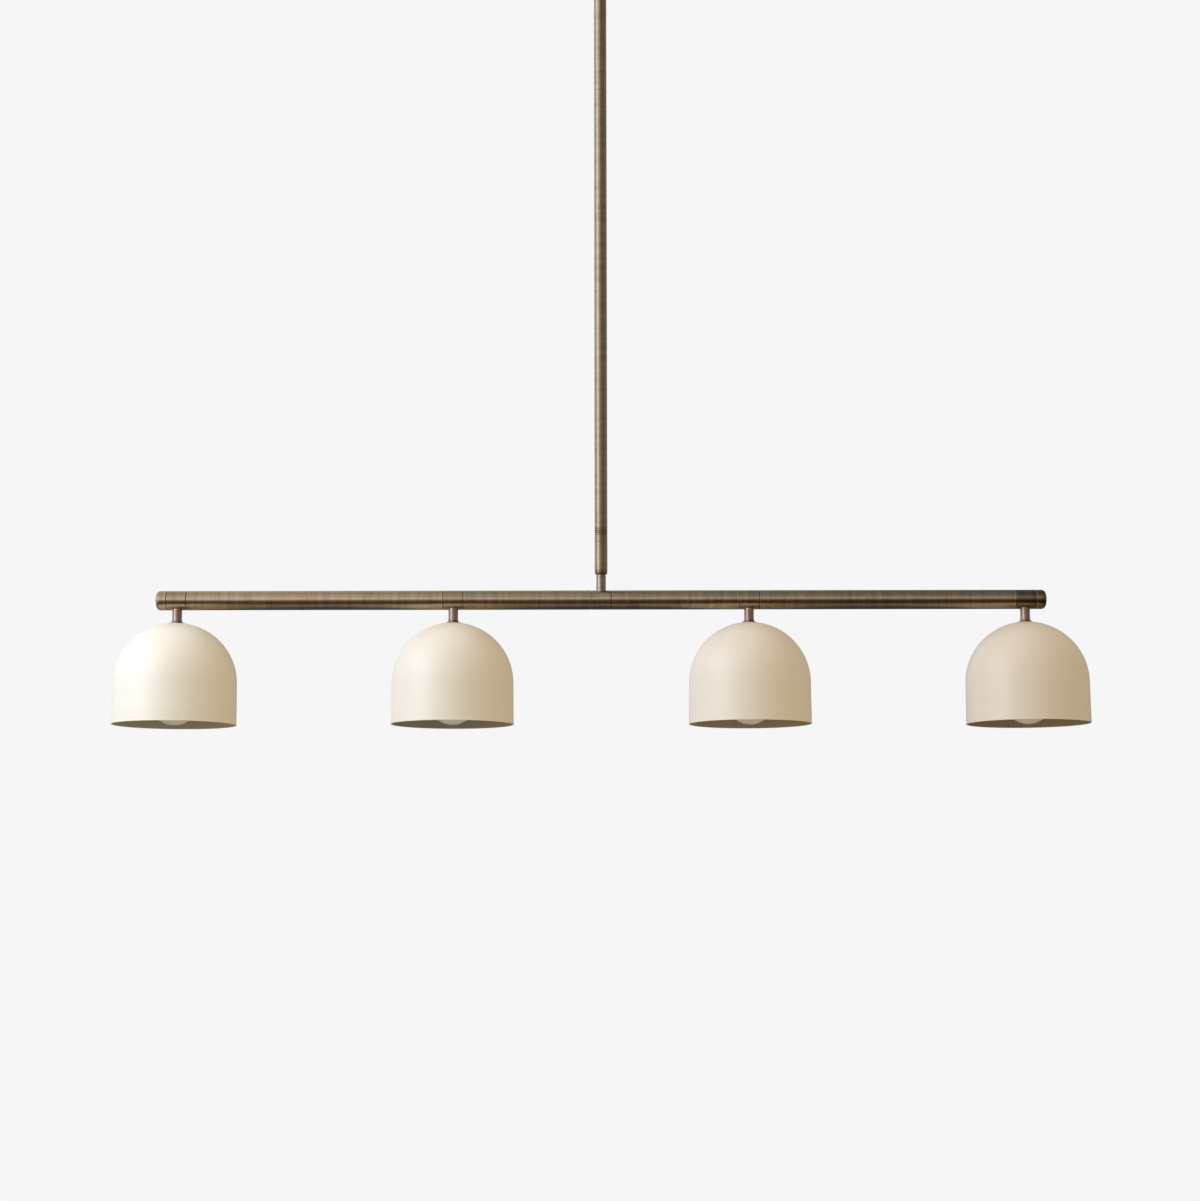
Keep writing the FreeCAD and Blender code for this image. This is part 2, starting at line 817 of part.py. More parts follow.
def make_end_cap(name, side):
    length = size.cap_length
    depth = size.spigot_length + size.joint_gap
    outline = [
        (bar_bore, 0),
        (bar_radius - size.edge_break, 0),
        (bar_radius, size.edge_break),
        (bar_radius, length - size.cap_round, size.cap_round, LEFT),
        (bar_radius - size.cap_round, length),
        (0, length),
        (0, depth),
        (bar_bore, depth),
    ]
    face = outer_place + half_hub
    turn = ABOUT_Y if side < 0 else UPRIGHT
    blank = turned(name + "_blank", outline, "X", (face * side, 0, bar_height), turn)
    return cut(name, blank, [back_hole(name + "_hole", (face + size.screw_inset) * side, screw_inner_end)])


def make_bar_screws():
    """One grub screw for each hub spigot, all in the back of the bar."""
    places = [as_length(0), -inner_place, inner_place, -outer_place, outer_place]
    screws = []
    for hub_number, middle in enumerate(places, start=1):
        for end in (-1, 1):
            name = f"bar_screw_{hub_number}_{end + 2}"
            spot = (middle + (half_hub + size.screw_inset) * end, screw_inner_end, bar_height)
            blank = rod(name + "_blank", size.screw_width / 2, size.screw_length, spot, along="Y")
            key_start = screw_inner_end + size.screw_length / 2
            key_spot = (spot[0], key_start, bar_height)
            key = hexagon(name + "_key", size.screw_key, size.screw_length / 2, key_spot, along="Y")
            screws.append(cut(name, blank, [key]))
    return group("bar_grub_screws", screws)


# ---- lamps ----------------------------------------------------------------------------------


def make_lamp_neck(number, side, distance):
    foot_radius = neck_radius + size.foot_flare
    foot_top = crown + size.foot_edge
    outline = [
        (nipple_hole, -seat_height),
        (neck_radius, -seat_height),
        (neck_radius, foot_top + size.foot_flare, size.foot_flare, LEFT),
        (foot_radius, foot_top),
        (foot_radius, crown),
        (nipple_hole, crown),
    ]
    return turned(f"lamp_neck_{number}", outline, at=lamp_spot(side, distance))


def make_shade(number, side, distance):
    """A spun shade: a flat crown, a round dome, a side that opens slightly and a fine hem."""
    dome = size.dome_width / 2
    crown_radius = size.crown_width / 2
    dome_inside = dome - size.shade_wall
    dome_rise = root(dome * dome - crown_radius * crown_radius)
    inside_rise = dome_rise - size.shade_wall
    crown_inside_radius = root(dome_inside * dome_inside - inside_rise * inside_rise)
    rim = size.shade_width / 2
    lip = rim - size.hem_stand
    bottom = crown - size.shade_height
    middle = crown - dome_rise
    outline = [
        (nipple_hole, crown),
        (crown_radius, crown, dome, RIGHT),
        (dome, middle),
        (lip, bottom + size.hem_height),
        (rim, bottom + size.hem_height - size.hem_stand),
        (rim, bottom + size.hem_stand),
        (lip, bottom),
        (lip - size.shade_wall, bottom),
        (dome_inside, middle, dome_inside, LEFT),
        (crown_inside_radius, crown_inside),
        (nipple_hole, crown_inside),
    ]
    return turned(f"shade_{number}", outline, at=lamp_spot(side, distance))


def make_lamp_nipple(number, side, distance):
    radii = (nipple_radius, size.nipple_bore / 2)
    return ring(
        f"lamp_nipple_{number}", *radii, thread_engaged, nipple_top, at=lamp_spot(side, distance)
    )


def make_socket_cap(number, side, distance):
    inside = size.socket_neck / 2 + size.fit_gap
    outside = inside + size.socket_cap_wall
    outline = [
        (nipple_hole, nut_bottom),
        (size.boss_width / 2, nut_bottom),
        (size.boss_width / 2, boss_bottom),
        (outside, boss_bottom),
        (outside, body_top - size.socket_cap_skirt),
        (inside, body_top - size.socket_cap_skirt),
        (inside, body_top),
        (nipple_hole, body_top),
    ]
    return turned(f"socket_cap_{number}", outline, at=lamp_spot(side, distance))


def make_socket_body(number, side, distance):
    """The porcelain body: a wiring recess above the web and the lamp bore below it."""
    recess = nipple_radius + size.neck_wall
    tag_hole = size.contact_tag / 2 + size.fit_gap
    shoulder_height = body_top - size.socket_cap_skirt - size.fit_gap
    bottom = web_bottom - size.socket_skirt
    outline = [
        (tag_hole, recess_floor),
        (recess, recess_floor),
        (recess, body_top),
        (size.socket_neck / 2, body_top),
        (size.socket_neck / 2, shoulder_height),
        (size.socket_width / 2, shoulder_height),
        (size.socket_width / 2, bottom + size.edge_break),
        (size.socket_width / 2 - size.edge_break, bottom),
        (socket_bore, bottom),
        (socket_bore, web_bottom),
        (tag_hole, web_bottom),
    ]
    return turned(f"socket_body_{number}", outline, at=lamp_spot(side, distance))


def make_socket_shell(number, side, distance):
    top = web_bottom - size.fit_gap
    return ring(
        f"socket_shell_{number}",
        socket_shell_outside,
        socket_shell_inside,
        top - size.socket_shell_length,
        top,
        at=lamp_spot(side, distance),
    )


def make_socket_contact(number, side, distance):
    plate_bottom = web_bottom - size.contact_plate
    tag = size.contact_tag / 2
    outline = [
        (0, recess_floor + size.edge_break),
        (tag, recess_floor + size.edge_break),
        (tag, web_bottom),
        (size.contact_width / 2, web_bottom),
        (size.contact_width / 2, plate_bottom),
        (size.contact_nub / 2, plate_bottom),
        (size.contact_nub / 4, contact_bottom),
        (0, contact_bottom),
    ]
    return turned(f"socket_contact_{number}", outline, at=lamp_spot(side, distance))


def make_bulb_base(number, side, distance):
    """The screw base, closed at its tip, with the thread as ridges round it."""
    crest = size.base_width / 2
    trough = crest - size.thread_depth
    inside = trough - size.base_wall
    half_ridge = size.thread_pitch / 4
    cone_end = size.thread_pitch * 1.4
    outline = [
        (0, 0),
        (size.contact_nub * 0.75, 0),
        (size.contact_nub * 0.85, size.base_wall * -3),
        (crest * 0.75, size.thread_pitch * -1.05),
        (trough, -cone_end),
    ]
    for ridge in range(THREAD_RIDGES):
        height = -cone_end - size.thread_pitch * (ridge + 0.75)
        outline += [(trough, height + half_ridge), (crest, height), (trough, height - half_ridge)]
    outline += [
        (trough, -size.base_length),
        (inside, -size.base_length),
        (inside, -cone_end - size.base_wall),
        (crest * 0.7, size.thread_pitch * -1.05 - size.base_wall * 2),
        (0, size.thread_pitch * -1.05 - size.base_wall * 2),
    ]
    return turned(f"bulb_base_{number}", outline, at=lamp_spot(side, distance, bulb_tip))


def make_bulb_glass(number, side, distance):
    """The glass: a ball that runs up into the neck by one tangent arc, as a thin closed shell."""
    ball = size.bulb_width / 2
    wall = size.bulb_wall
    neck = size.base_width / 2 - size.thread_depth - size.base_wall - size.fit_gap * 2
    neck_end = -size.bulb_neck_length
    neck_top = size.bulb_neck_inside - size.base_length
    middle = ball - size.bulb_length
    drop = neck_end - middle
    flare = (drop * drop + neck * neck - ball * ball) / ((ball - neck) * 2)
    share = 1 / (ball.value + flare.value)
    share = Length(share, f"(1 / ({ball.text} + {flare.text}))")
    across, rise = (neck + flare) * share, drop * share
    outline = [
        (neck - wall, neck_top),
        (neck, neck_top),
        (neck, neck_end, flare, LEFT),
        (ball * across, middle + ball * rise, ball, RIGHT),
        (0, -size.bulb_length),
        (0, wall - size.bulb_length, ball - wall, LEFT),
        ((ball - wall) * across, middle + (ball - wall) * rise, flare + wall, RIGHT),
        (neck - wall, neck_end),
    ]
    return turned(f"bulb_glass_{number}", outline, at=lamp_spot(side, distance, bulb_tip))


# ---- wires ----------------------------------------------------------------------------------


def bent_lead(name, rise, run, at, turn):
    """A twin lead that rises from a point, bends once and runs level to its end."""
    body = doc.addObject("PartDesign::Body", name)
    section = sketch_on(body, name + "_section", "XY_Plane")
    section.addGeometry(Part.Circle(FreeCAD.Vector(), FreeCAD.Vector(0, 0, 1), lead_radius.value))
    section.addConstraint(
        [
            Sketcher.Constraint("Coincident", 0, 3, -1, 1),
            Sketcher.Constraint("Radius", 0, lead_radius.value),
        ]
    )
    section.setExpression("Constraints[1]", lead_radius.text)
    route = sketch_on(body, name + "_route", "XZ_Plane")
    corners = [
        (0, 0),
        (0, rise - size.lead_bend, size.lead_bend, RIGHT),
        (size.lead_bend, rise),
        (run, rise),
    ]
    draw(route, corners, closed=False)
    pipe = body.newObject("PartDesign::AdditivePipe", name + "_sheath")
    pipe.Profile = section
    pipe.Spine = route
    place(body, at, turn)
    length = rise.value + run.value - (2 - math.pi / 2) * size.lead_bend.value
    lead_volumes[name] = (body, math.pi * lead_radius.value**2 * length)
    return body


def make_lamp_leads():
    """From each socket up through its neck, and along the bar to the splice sleeve."""
    start = recess_floor + size.edge_break + size.joint_gap
    leads = []
    for number, side, distance, shift in LAMPS:
        run = distance - sleeve_middle - size.joint_gap
        spot = (distance * side, shift, bar_height + start)
        turn = UPRIGHT if side < 0 else ABOUT_Z
        leads.append(bent_lead(f"lamp_lead_{number}", -start, run, spot, turn))
    return group("lamp_leads", leads)


def make_stem_leads():
    """From the swivel's tongue down the stem, one lead to each side of the bar."""
    top = shoulder + size.wire_port / 2
    leads = []
    for side in (-1, 1):
        run = sleeve_middle - size.joint_gap - lead_offset
        spot = (lead_offset * side, 0, top)
        turn = ABOUT_X if side > 0 else ABOUT_Y
        leads.append(bent_lead(f"stem_lead_{side + 2}", top - bar_height, run, spot, turn))
    return group("stem_leads", leads)


def make_splice_sleeves():
    half = size.sleeve_length / 2
    outer = size.sleeve_width / 2
    return group(
        "splice_sleeves",
        [
            ring(
                f"splice_sleeve_{side + 2}",
                outer,
                outer - size.sleeve_wall,
                sleeve_middle * side - half,
                sleeve_middle * side + half,
                "X",
                (0, 0, bar_height),
            )
            for side in (-1, 1)
        ],
    )


# ---- the pendant, from the ceiling down -----------------------------------------------------

lead_volumes = {}


def make_pendant():
    """Make every sub-part, and give back the objects that become nodes."""
    nodes = [
        make_crossbar(),
        make_ground_screw(),
        ring("center_nipple", nipple_radius, size.nipple_bore / 2, bush_bottom, 0),
        pipe_nut("nipple_locknut", (0, 0, -size.strap_thickness)),
        make_canopy(),
        make_canopy_studs(),
        make_cap_nuts(),
        make_swivel_cup(),
        ring("cup_bush", size.cup_bore / 2, nipple_hole, bush_bottom, cup_top),
        ring(
            "shank_nut",
            size.shank_nut_width / 2,
            size.shank_width / 2 + size.fit_gap,
            cup_floor_top + size.fit_gap,
            cup_floor_top + size.fit_gap + size.shank_nut_height,
        ),
        make_swivel_fork(),
        make_swivel_pin(),
        make_swivel_tongue(),
        stem_tube("stem_upper", stem_top, upper_joint),
        stem_tube("stem_lower", upper_joint, ferrule_joint, [ferrule_joint + size.ring_inset]),
        stem_tube(
            "stem_ferrule",
            ferrule_joint,
            stem_foot,
            [ferrule_joint - size.ring_inset, ferrule_joint - size.ring_lower],
            size.ferrule_round,
        ),
        make_stem_inserts(),
        make_stem_nipples(),
        make_stem_neck(),
        make_hub("tee_hub", 1, as_length(0), 1),
    ]
    for side, word in ((-1, "left"), (1, "right")):
        inner_end = inner_place - half_hub
        outer_start = inner_place + half_hub
        nodes += [
            make_bar_tube(f"bar_tube_inner_{word}", side, half_hub, inner_end),
            make_bar_tube(f"bar_tube_outer_{word}", side, outer_start, outer_place - half_hub),
            make_end_cap(f"end_cap_{word}", side),
        ]
    nodes.append(make_bar_screws())

    shared = {"lamp_nipples": [], "shade_locknuts": [], "socket_caps": []}
    shared.update({"socket_shells": [], "socket_contacts": []})
    for number, side, distance, _ in LAMPS:
        spot = (number, side, distance)
        nodes += [
            make_hub(f"lamp_hub_{number}", side, distance, -1),
            make_lamp_neck(*spot),
            make_shade(*spot),
            make_socket_body(*spot),
            make_bulb_base(*spot),
            make_bulb_glass(*spot),
        ]
        shared["lamp_nipples"].append(make_lamp_nipple(*spot))
        nut_spot = lamp_spot(side, distance, crown_inside)
        shared["shade_locknuts"].append(pipe_nut(f"shade_locknut_{number}", nut_spot))
        shared["socket_caps"].append(make_socket_cap(*spot))
        shared["socket_shells"].append(make_socket_shell(*spot))
        shared["socket_contacts"].append(make_socket_contact(*spot))
    nodes += [group(name, pieces) for name, pieces in shared.items()]
    nodes += [make_stem_leads(), make_lamp_leads(), make_splice_sleeves()]
    return nodes


def check_document():
    """Stop if any object failed to recompute."""
    for thing in doc.Objects:
        if "Invalid" in thing.State or "Error" in thing.State:
            raise SystemExit(f"{thing.Label} is {thing.State}")


def check_nodes(nodes):
    """Stop if a node has no sound shape, or a lead's volume isn't its section times its length."""
    for node in nodes:
        if node.Shape.isNull() or not node.Shape.isValid() or not node.Shape.Solids:
            raise SystemExit(f"{node.Label} has no valid solid")
    for name, (body, expected) in lead_volumes.items():
        share = body.Shape.Volume / expected
        print(f"{name}: bend {size.lead_bend.value} mm, volume {share:.5f} of section times length")
        if abs(share - 1) > VOLUME_TOLERANCE:
            raise SystemExit(f"{name} is {share:.4f} of its section times its length")


def write_nodes(nodes):
    os.makedirs("parts", exist_ok=True)
    for node in nodes:
        node.Shape.exportStep(f"parts/{node.Label}.step")
        print(f"{node.Label}: {len(node.Shape.Solids)} solid, {node.Shape.Volume:.1f} mm3")
    print(f"{len(nodes)} nodes; bar {-bar_height.value:.1f} mm below the ceiling")


pendant = make_pendant()
doc.recompute()
check_document()
check_nodes(pendant)
write_nodes(pendant)
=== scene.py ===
"""Looks of the linear island pendant.

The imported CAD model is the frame. This file dresses its nodes, builds the spun shades, the bulbs,
the screws and the screw threads with finer meshes, and sets up the studio and the camera.
All lengths are in metres, in the frame of the CAD model: the ceiling is z = 0, the bar lies along
X and the front of the pendant faces -Y.
"""

from __future__ import annotations

import logging
import math
from dataclasses import dataclass, fields, replace
from enum import Enum
from types import SimpleNamespace
from typing import Any, Callable, ClassVar, Union

import bpy
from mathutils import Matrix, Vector

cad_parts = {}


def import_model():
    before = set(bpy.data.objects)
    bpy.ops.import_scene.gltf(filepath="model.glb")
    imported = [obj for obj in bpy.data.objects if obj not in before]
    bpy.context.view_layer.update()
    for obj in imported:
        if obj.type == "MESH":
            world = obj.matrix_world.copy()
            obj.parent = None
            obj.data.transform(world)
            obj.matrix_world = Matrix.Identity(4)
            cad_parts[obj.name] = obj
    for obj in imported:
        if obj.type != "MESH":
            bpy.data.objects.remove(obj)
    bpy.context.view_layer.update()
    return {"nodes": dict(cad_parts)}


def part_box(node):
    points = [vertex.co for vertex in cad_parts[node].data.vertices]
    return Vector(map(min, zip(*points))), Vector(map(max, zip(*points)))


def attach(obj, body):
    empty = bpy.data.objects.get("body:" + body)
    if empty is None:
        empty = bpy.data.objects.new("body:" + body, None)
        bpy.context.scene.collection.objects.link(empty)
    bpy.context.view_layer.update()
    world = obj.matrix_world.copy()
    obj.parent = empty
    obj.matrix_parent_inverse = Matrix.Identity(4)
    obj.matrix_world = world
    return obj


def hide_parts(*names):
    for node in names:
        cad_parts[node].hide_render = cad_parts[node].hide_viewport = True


log = logging.getLogger("pendant")

Colour = tuple[float, float, float]
Point = tuple[float, float, float]
Socket = bpy.types.NodeSocket
Input = Union[Socket, float, tuple, str, bool, int, None]

BAR_HEIGHT = -0.8889
LAMP_PLACES = {1: -0.529, 2: -0.1845, 3: 0.1845, 4: 0.529}
PAPER_WHITE = 0.9216
MERGE_DISTANCE = 2e-6
SHARP_EDGE = math.radians(34.0)
THREAD_ROWS = 14.0


class Axis(Enum):
    """The line that a part was turned on, as the turn that brings it upright."""

    X = (0.0, -math.pi / 2, 0.0)
    Y = (math.pi / 2, 0.0, 0.0)
    Z = (0.0, 0.0, 0.0)


class Joints(Enum):
    """Which ends of a turned part meet another part: its low one and its high one."""

    NONE = (False, False)
    LOW = (True, False)
    HIGH = (False, True)
    BOTH = (True, True)


def put_in_scene(name: str, data: bpy.types.ID) -> bpy.types.Object:
    """Makes an object of a mesh, a lamp's data or a camera's, and links it to the scene.

    Args:
        name: the object's name.
        data: what it is made of.

    Returns:
        The object, at the origin.
    """
    made = bpy.data.objects.new(name, data)
    bpy.context.scene.collection.objects.link(made)
    return made


# ---- writing node trees ---------------------------------------------------------------------


class Tree:
    """Writes one node tree, a node or a sum at a time."""

    def __init__(self, tree: bpy.types.NodeTree) -> None:
        """Keeps the tree to write in."""
        self.tree = tree

    @classmethod
    def of(cls, owner: bpy.types.Material | bpy.types.World) -> Tree:
        """Gives the emptied tree of a material or a world.

        Args:
            owner: the material or the world, which from now on uses nodes.

        Returns:
            The tree, ready to be written.
        """
        owner.use_nodes = True
        owner.node_tree.nodes.clear()
        return cls(owner.node_tree)

    def add(
        self, kind: str, values: dict[Any, Input] | None = None, **settings: Any
    ) -> bpy.types.Node:
        """Adds a node.

        Args:
            kind: the node's type name.
            values: the inputs by name or number, each a constant or the socket that feeds it.
            settings: the node's own properties.

        Returns:
            The new node.
        """
        node = self.tree.nodes.new(kind)
        for name, value in settings.items():
            setattr(node, name, value)
        for key, value in (values or {}).items():
            if isinstance(value, Socket):
                self.tree.links.new(value, node.inputs[key])
            elif value is not None:
                node.inputs[key].default_value = value
        return node

    def math(
        self, operation: str, first: Input, second: Input = None, third: Input = None
    ) -> Socket:
        """Adds one sum of up to three numbers and gives its result."""
        values = {0: first, 1: second, 2: third}
        return self.add("ShaderNodeMath", values, operation=operation).outputs[0]

    def spread(
        self, value: Input, low: float, high: float, to_low: float, to_high: float
    ) -> Socket:
        """Maps a value's range on another one, clamped.

        Args:
            value: the value.
            low: what becomes to_low.
            high: what becomes to_high.
            to_low: the result at and below low.
            to_high: the result at and above high.

        Returns:
            The mapped value.
        """
        values = {"Value": value, "From Min": low, "From Max": high}
        values |= {"To Min": to_low, "To Max": to_high}
        return self.add("ShaderNodeMapRange", values).outputs["Result"]

    def blend(self, share: Input, first: Input, second: Input, how: str = "MIX") -> Socket:
        """Mixes two colours by a share and gives the result.

        Args:
            share: 0 for the first colour, 1 for the second.
            first: the first colour, or the socket that gives it.
            second: the second one.
            how: the way in which they are mixed.

        Returns:
            The mixed colour.
        """
        first = (*first, 1.0) if isinstance(first, tuple) else first
        second = (*second, 1.0) if isinstance(second, tuple) else second
        node = self.add("ShaderNodeMix", data_type="RGBA", blend_type=how)
        inputs = (node.inputs[0], node.inputs[6], node.inputs[7])
        for socket, value in zip(inputs, (share, first, second)):
            if isinstance(value, Socket):
                self.tree.links.new(value, socket)
            else:
                socket.default_value = value
        return node.outputs[2]

    def noise(
        self, vector: Input, scale: float, detail: float = 2.0, rough: float = 0.5
    ) -> Socket:
        """Adds a soft random pattern and gives its value, about 0.5 in the middle."""
        values = {"Vector": vector, "Scale": scale, "Detail": detail, "Roughness": rough}
        return self.add("ShaderNodeTexNoise", values, noise_dimensions="3D").outputs["Fac"]

    def split(self, vector: Input) -> Any:
        """Takes a vector apart and gives its X, Y and Z."""
        return self.add("ShaderNodeSeparateXYZ", {0: vector}).outputs

    def vector(self, x: Input, y: Input, z: Input) -> Socket:
        """Puts a vector together from its X, Y and Z."""
        return self.add("ShaderNodeCombineXYZ", {0: x, 1: y, 2: z}).outputs[0]

    def length(self, vector: Input) -> Socket:
        """Gives a vector's length."""
        values = {0: vector}
        return self.add("ShaderNodeVectorMath", values, operation="LENGTH").outputs["Value"]

    def tinted(self, colour: Input, level: Input) -> Socket:
        """Gives a colour made lighter or darker by a level."""
        grey = self.add("ShaderNodeCombineColor", {0: level, 1: level, 2: level}).outputs[0]
        return self.blend(1.0, colour, grey, "MULTIPLY")

    def bump(self, height: Input, strength: float, distance: float) -> Socket:
        """Gives the normal, bent by a height."""
        values = {"Strength": strength, "Distance": distance, "Height": height}
        return self.add("ShaderNodeBump", values).outputs[0]

    def principled(self, values: dict[str, Input]) -> Socket:
        """Adds a material's shader and gives its surface."""
        return self.add("ShaderNodeBsdfPrincipled", values).outputs[0]


@dataclass(frozen=True)
class Quantity:
    """A number in a node tree, written with plain sums."""

    tree: Tree
    socket: Input

    def sum(self, operation: str, *others: Quantity | float) -> Quantity:
        """Adds one sum to the tree, of this number and the others."""
        values = [part.socket if isinstance(part, Quantity) else part for part in (self, *others)]
        return Quantity(self.tree, self.tree.math(operation, *values))

    def __add__(self, other: Quantity | float) -> Quantity:
        """This and another."""
        return self.sum("ADD", other)

    __radd__ = __add__

    def __sub__(self, other: Quantity | float) -> Quantity:
        """This less another."""
        return self.sum("SUBTRACT", other)

    def __rsub__(self, other: float) -> Quantity:
        """A plain number less this."""
        return self * -1.0 + other

    def __mul__(self, other: Quantity | float) -> Quantity:
        """This times another."""
        return self.sum("MULTIPLY", other)

    __rmul__ = __mul__

    def __truediv__(self, other: Quantity | float) -> Quantity:
        """This over another."""
        return self.sum("DIVIDE", other)

    def clamped(self) -> Quantity:
        """This, kept from 0 to 1."""
        return self.sum("MAXIMUM", 0.0).sum("MINIMUM", 1.0)


Rule = Callable[[Quantity, Quantity], tuple["Quantity | float", "Quantity | float"]]
Spot = tuple["Quantity | float", "Quantity | float"]


class Lathe:
    """Writes the strips of a turned shape, each once round the Z axis, in a Geometry Nodes tree.

    The strips follow the outline with the metal on their right: outwards over the top, down the
    outside, inwards underneath and up the bore, so every face points out of the metal.
    """

    def __init__(self, tree: Tree, segments: Input) -> None:
        """Keeps the tree and how many faces go round.

        Args:
            tree: the tree to write in.
            segments: how many faces go round.
        """
        self.tree = tree
        self.columns = tree.math("ADD", segments, 1.0)
        self.strips: list[Socket] = []

    def strip(self, rows: Quantity | int, rule: Rule) -> None:
        """Adds one strip.

        Args:
            rows: how many rings of points it has.
            rule: gives radius and height from the share along the strip and the share round it.
        """
        rings = rows.socket if isinstance(rows, Quantity) else rows
        sizes = {"Size X": 1.0, "Size Y": 1.0, "Vertices X": self.columns, "Vertices Y": rings}
        grid = self.tree.add("GeometryNodeMeshGrid", sizes).outputs["Mesh"]
        spot = self.tree.add("GeometryNodeInputPosition").outputs[0]
        parts = self.tree.split(spot)
        around = Quantity(self.tree, parts[0]) + 0.5
        along = Quantity(self.tree, parts[1]) + 0.5
        radius, height = rule(along, around)
        turn = around * (-2.0 * math.pi)
        values = (turn.sum("COSINE") * radius, turn.sum("SINE") * radius, height)
        place = self.tree.vector(*(getattr(part, "socket", part) for part in values))
        moved = self.tree.add("GeometryNodeSetPosition", {"Geometry": grid, "Position": place})
        self.strips.append(moved.outputs[0])

    def line(self, start: Spot, end: Spot, rows: int = 2) -> None:
        """Adds a straight strip between two (radius, height) spots.

        Args:
            start: the spot where it starts.
            end: the spot where it ends.
            rows: how many rings of points it has.
        """
        self.strip(
            rows,
            lambda along, around: (
                along * (end[0] - start[0]) + start[0],
                along * (end[1] - start[1]) + start[1],
            ),
        )

    def path(self, *spots: Spot) -> None:
        """Adds straight strips from each (radius, height) spot to the next."""
        for start, end in zip(spots, spots[1:]):
            self.line(start, end)

    def arc(
        self,
        centre: Spot,
        radii: Spot,
        start: Quantity | float,
        end: Quantity | float,
        rows: int,
    ) -> None:
        """Adds a strip along an arc, its angles in radians up from level.

        Args:
            centre: the arc's middle.
            radii: its size outwards and upwards.
            start: the angle at its start.
            end: the angle at its end.
            rows: how many rings of points it has.
        """

        def rule(along: Quantity, around: Quantity) -> Spot:
            """The spot on the arc.

            Args:
                along: the share along the strip.
                around: the share round it.

            Returns:
                Its radius and its height.
            """
            angle = along * (end - start) + start
            level, upright = angle.sum("COSINE"), angle.sum("SINE")
            return level * radii[0] + centre[0], upright * radii[1] + centre[1]

        self.strip(rows, rule)

    def hexed(self, half_across: Quantity | float, around: Quantity) -> Quantity:
        """Gives the radius of a hexagon at a share round it."""
        off = ((around * 6.0).sum("FRACT") - 0.5) * (math.pi / 3.0)
        return Quantity(self.tree, off.sum("COSINE").sum("POWER", -1.0).socket) * half_across

    @staticmethod
    def thread(height: Quantity, around: Quantity, pitch: Quantity | float) -> Quantity:
        """Gives a right-hand thread's wave, from 0 in its groove to 1 on its crest."""
        phase = (height / pitch + around) * (2.0 * math.pi)
        return phase.sum("COSINE") * 0.5 + 0.5

    @staticmethod
    def fading(height: Quantity, top: Any, foot: Any, pitch: Quantity) -> Quantity:
        """Gives 1 along a thread, and less over its first and its last turn."""
        return ((top - height) / pitch).clamped() * ((height - foot) / pitch).clamped()

    def done(self) -> Socket:
        """Joins the strips, closes their seams and poles, and gives the shape.

        Returns:
            The closed shape.
        """
        joined = self.tree.add("GeometryNodeJoinGeometry")
        for strip in self.strips:
            self.tree.tree.links.new(strip, joined.inputs[0])
        values = {"Geometry": joined.outputs[0], "Distance": MERGE_DISTANCE}
        merged = self.tree.add("GeometryNodeMergeByDistance", values).outputs[0]
        values = {0: merged, "Shade Smooth": True}
        smooth = self.tree.add("GeometryNodeSetShadeSmooth", values)
        angle = self.tree.add("GeometryNodeInputMeshEdgeAngle").outputs["Unsigned Angle"]
        sharp = self.tree.math("GREATER_THAN", angle, SHARP_EDGE)
        values = {0: smooth.outputs[0], "Selection": sharp, "Shade Smooth": False}
        return self.tree.add("GeometryNodeSetShadeSmooth", values, domain="EDGE").outputs[0]


# ---- effects that several finishes share ----------------------------------------------------


class Effect:
    """A shader node group, built once and placed in each finish with its own values."""

    title: ClassVar[str] = ""
    takes: ClassVar[dict[str, tuple[str, Any]]] = {}
    gives: ClassVar[dict[str, str]] = {}

    @classmethod
    def group(cls) -> bpy.types.NodeTree:
        """Gives the group, and builds it the first time.

        Returns:
            The group.
        """
        found = bpy.data.node_groups.get(cls.title)
        if found is not None:
            return found
        group = bpy.data.node_groups.new(cls.title, "ShaderNodeTree")
        for name, (kind, value) in cls.takes.items():
            socket = group.interface.new_socket(name, in_out="INPUT", socket_type=kind)
            if value is not None:
                socket.default_value = value
        for name, kind in cls.gives.items():
            group.interface.new_socket(name, in_out="OUTPUT", socket_type=kind)
        tree = Tree(group)
        results = cls.write(tree, tree.add("NodeGroupInput").outputs)
        tree.add("NodeGroupOutput", results)
        return group

    @classmethod
    def write(cls, tree: Tree, given: Any) -> dict[str, Socket]:
        """Writes the group's nodes.

        Args:
            tree: the group's tree.
            given: the group's inputs, as outputs of its input node.

        Returns:
            The socket for each of the group's outputs.
        """
        raise NotImplementedError

    @classmethod
    def put(cls, tree: Tree, values: dict[str, Input]) -> Any:
        """Places the group in a material and gives its outputs."""
        return tree.add("ShaderNodeGroup", values, node_tree=cls.group()).outputs


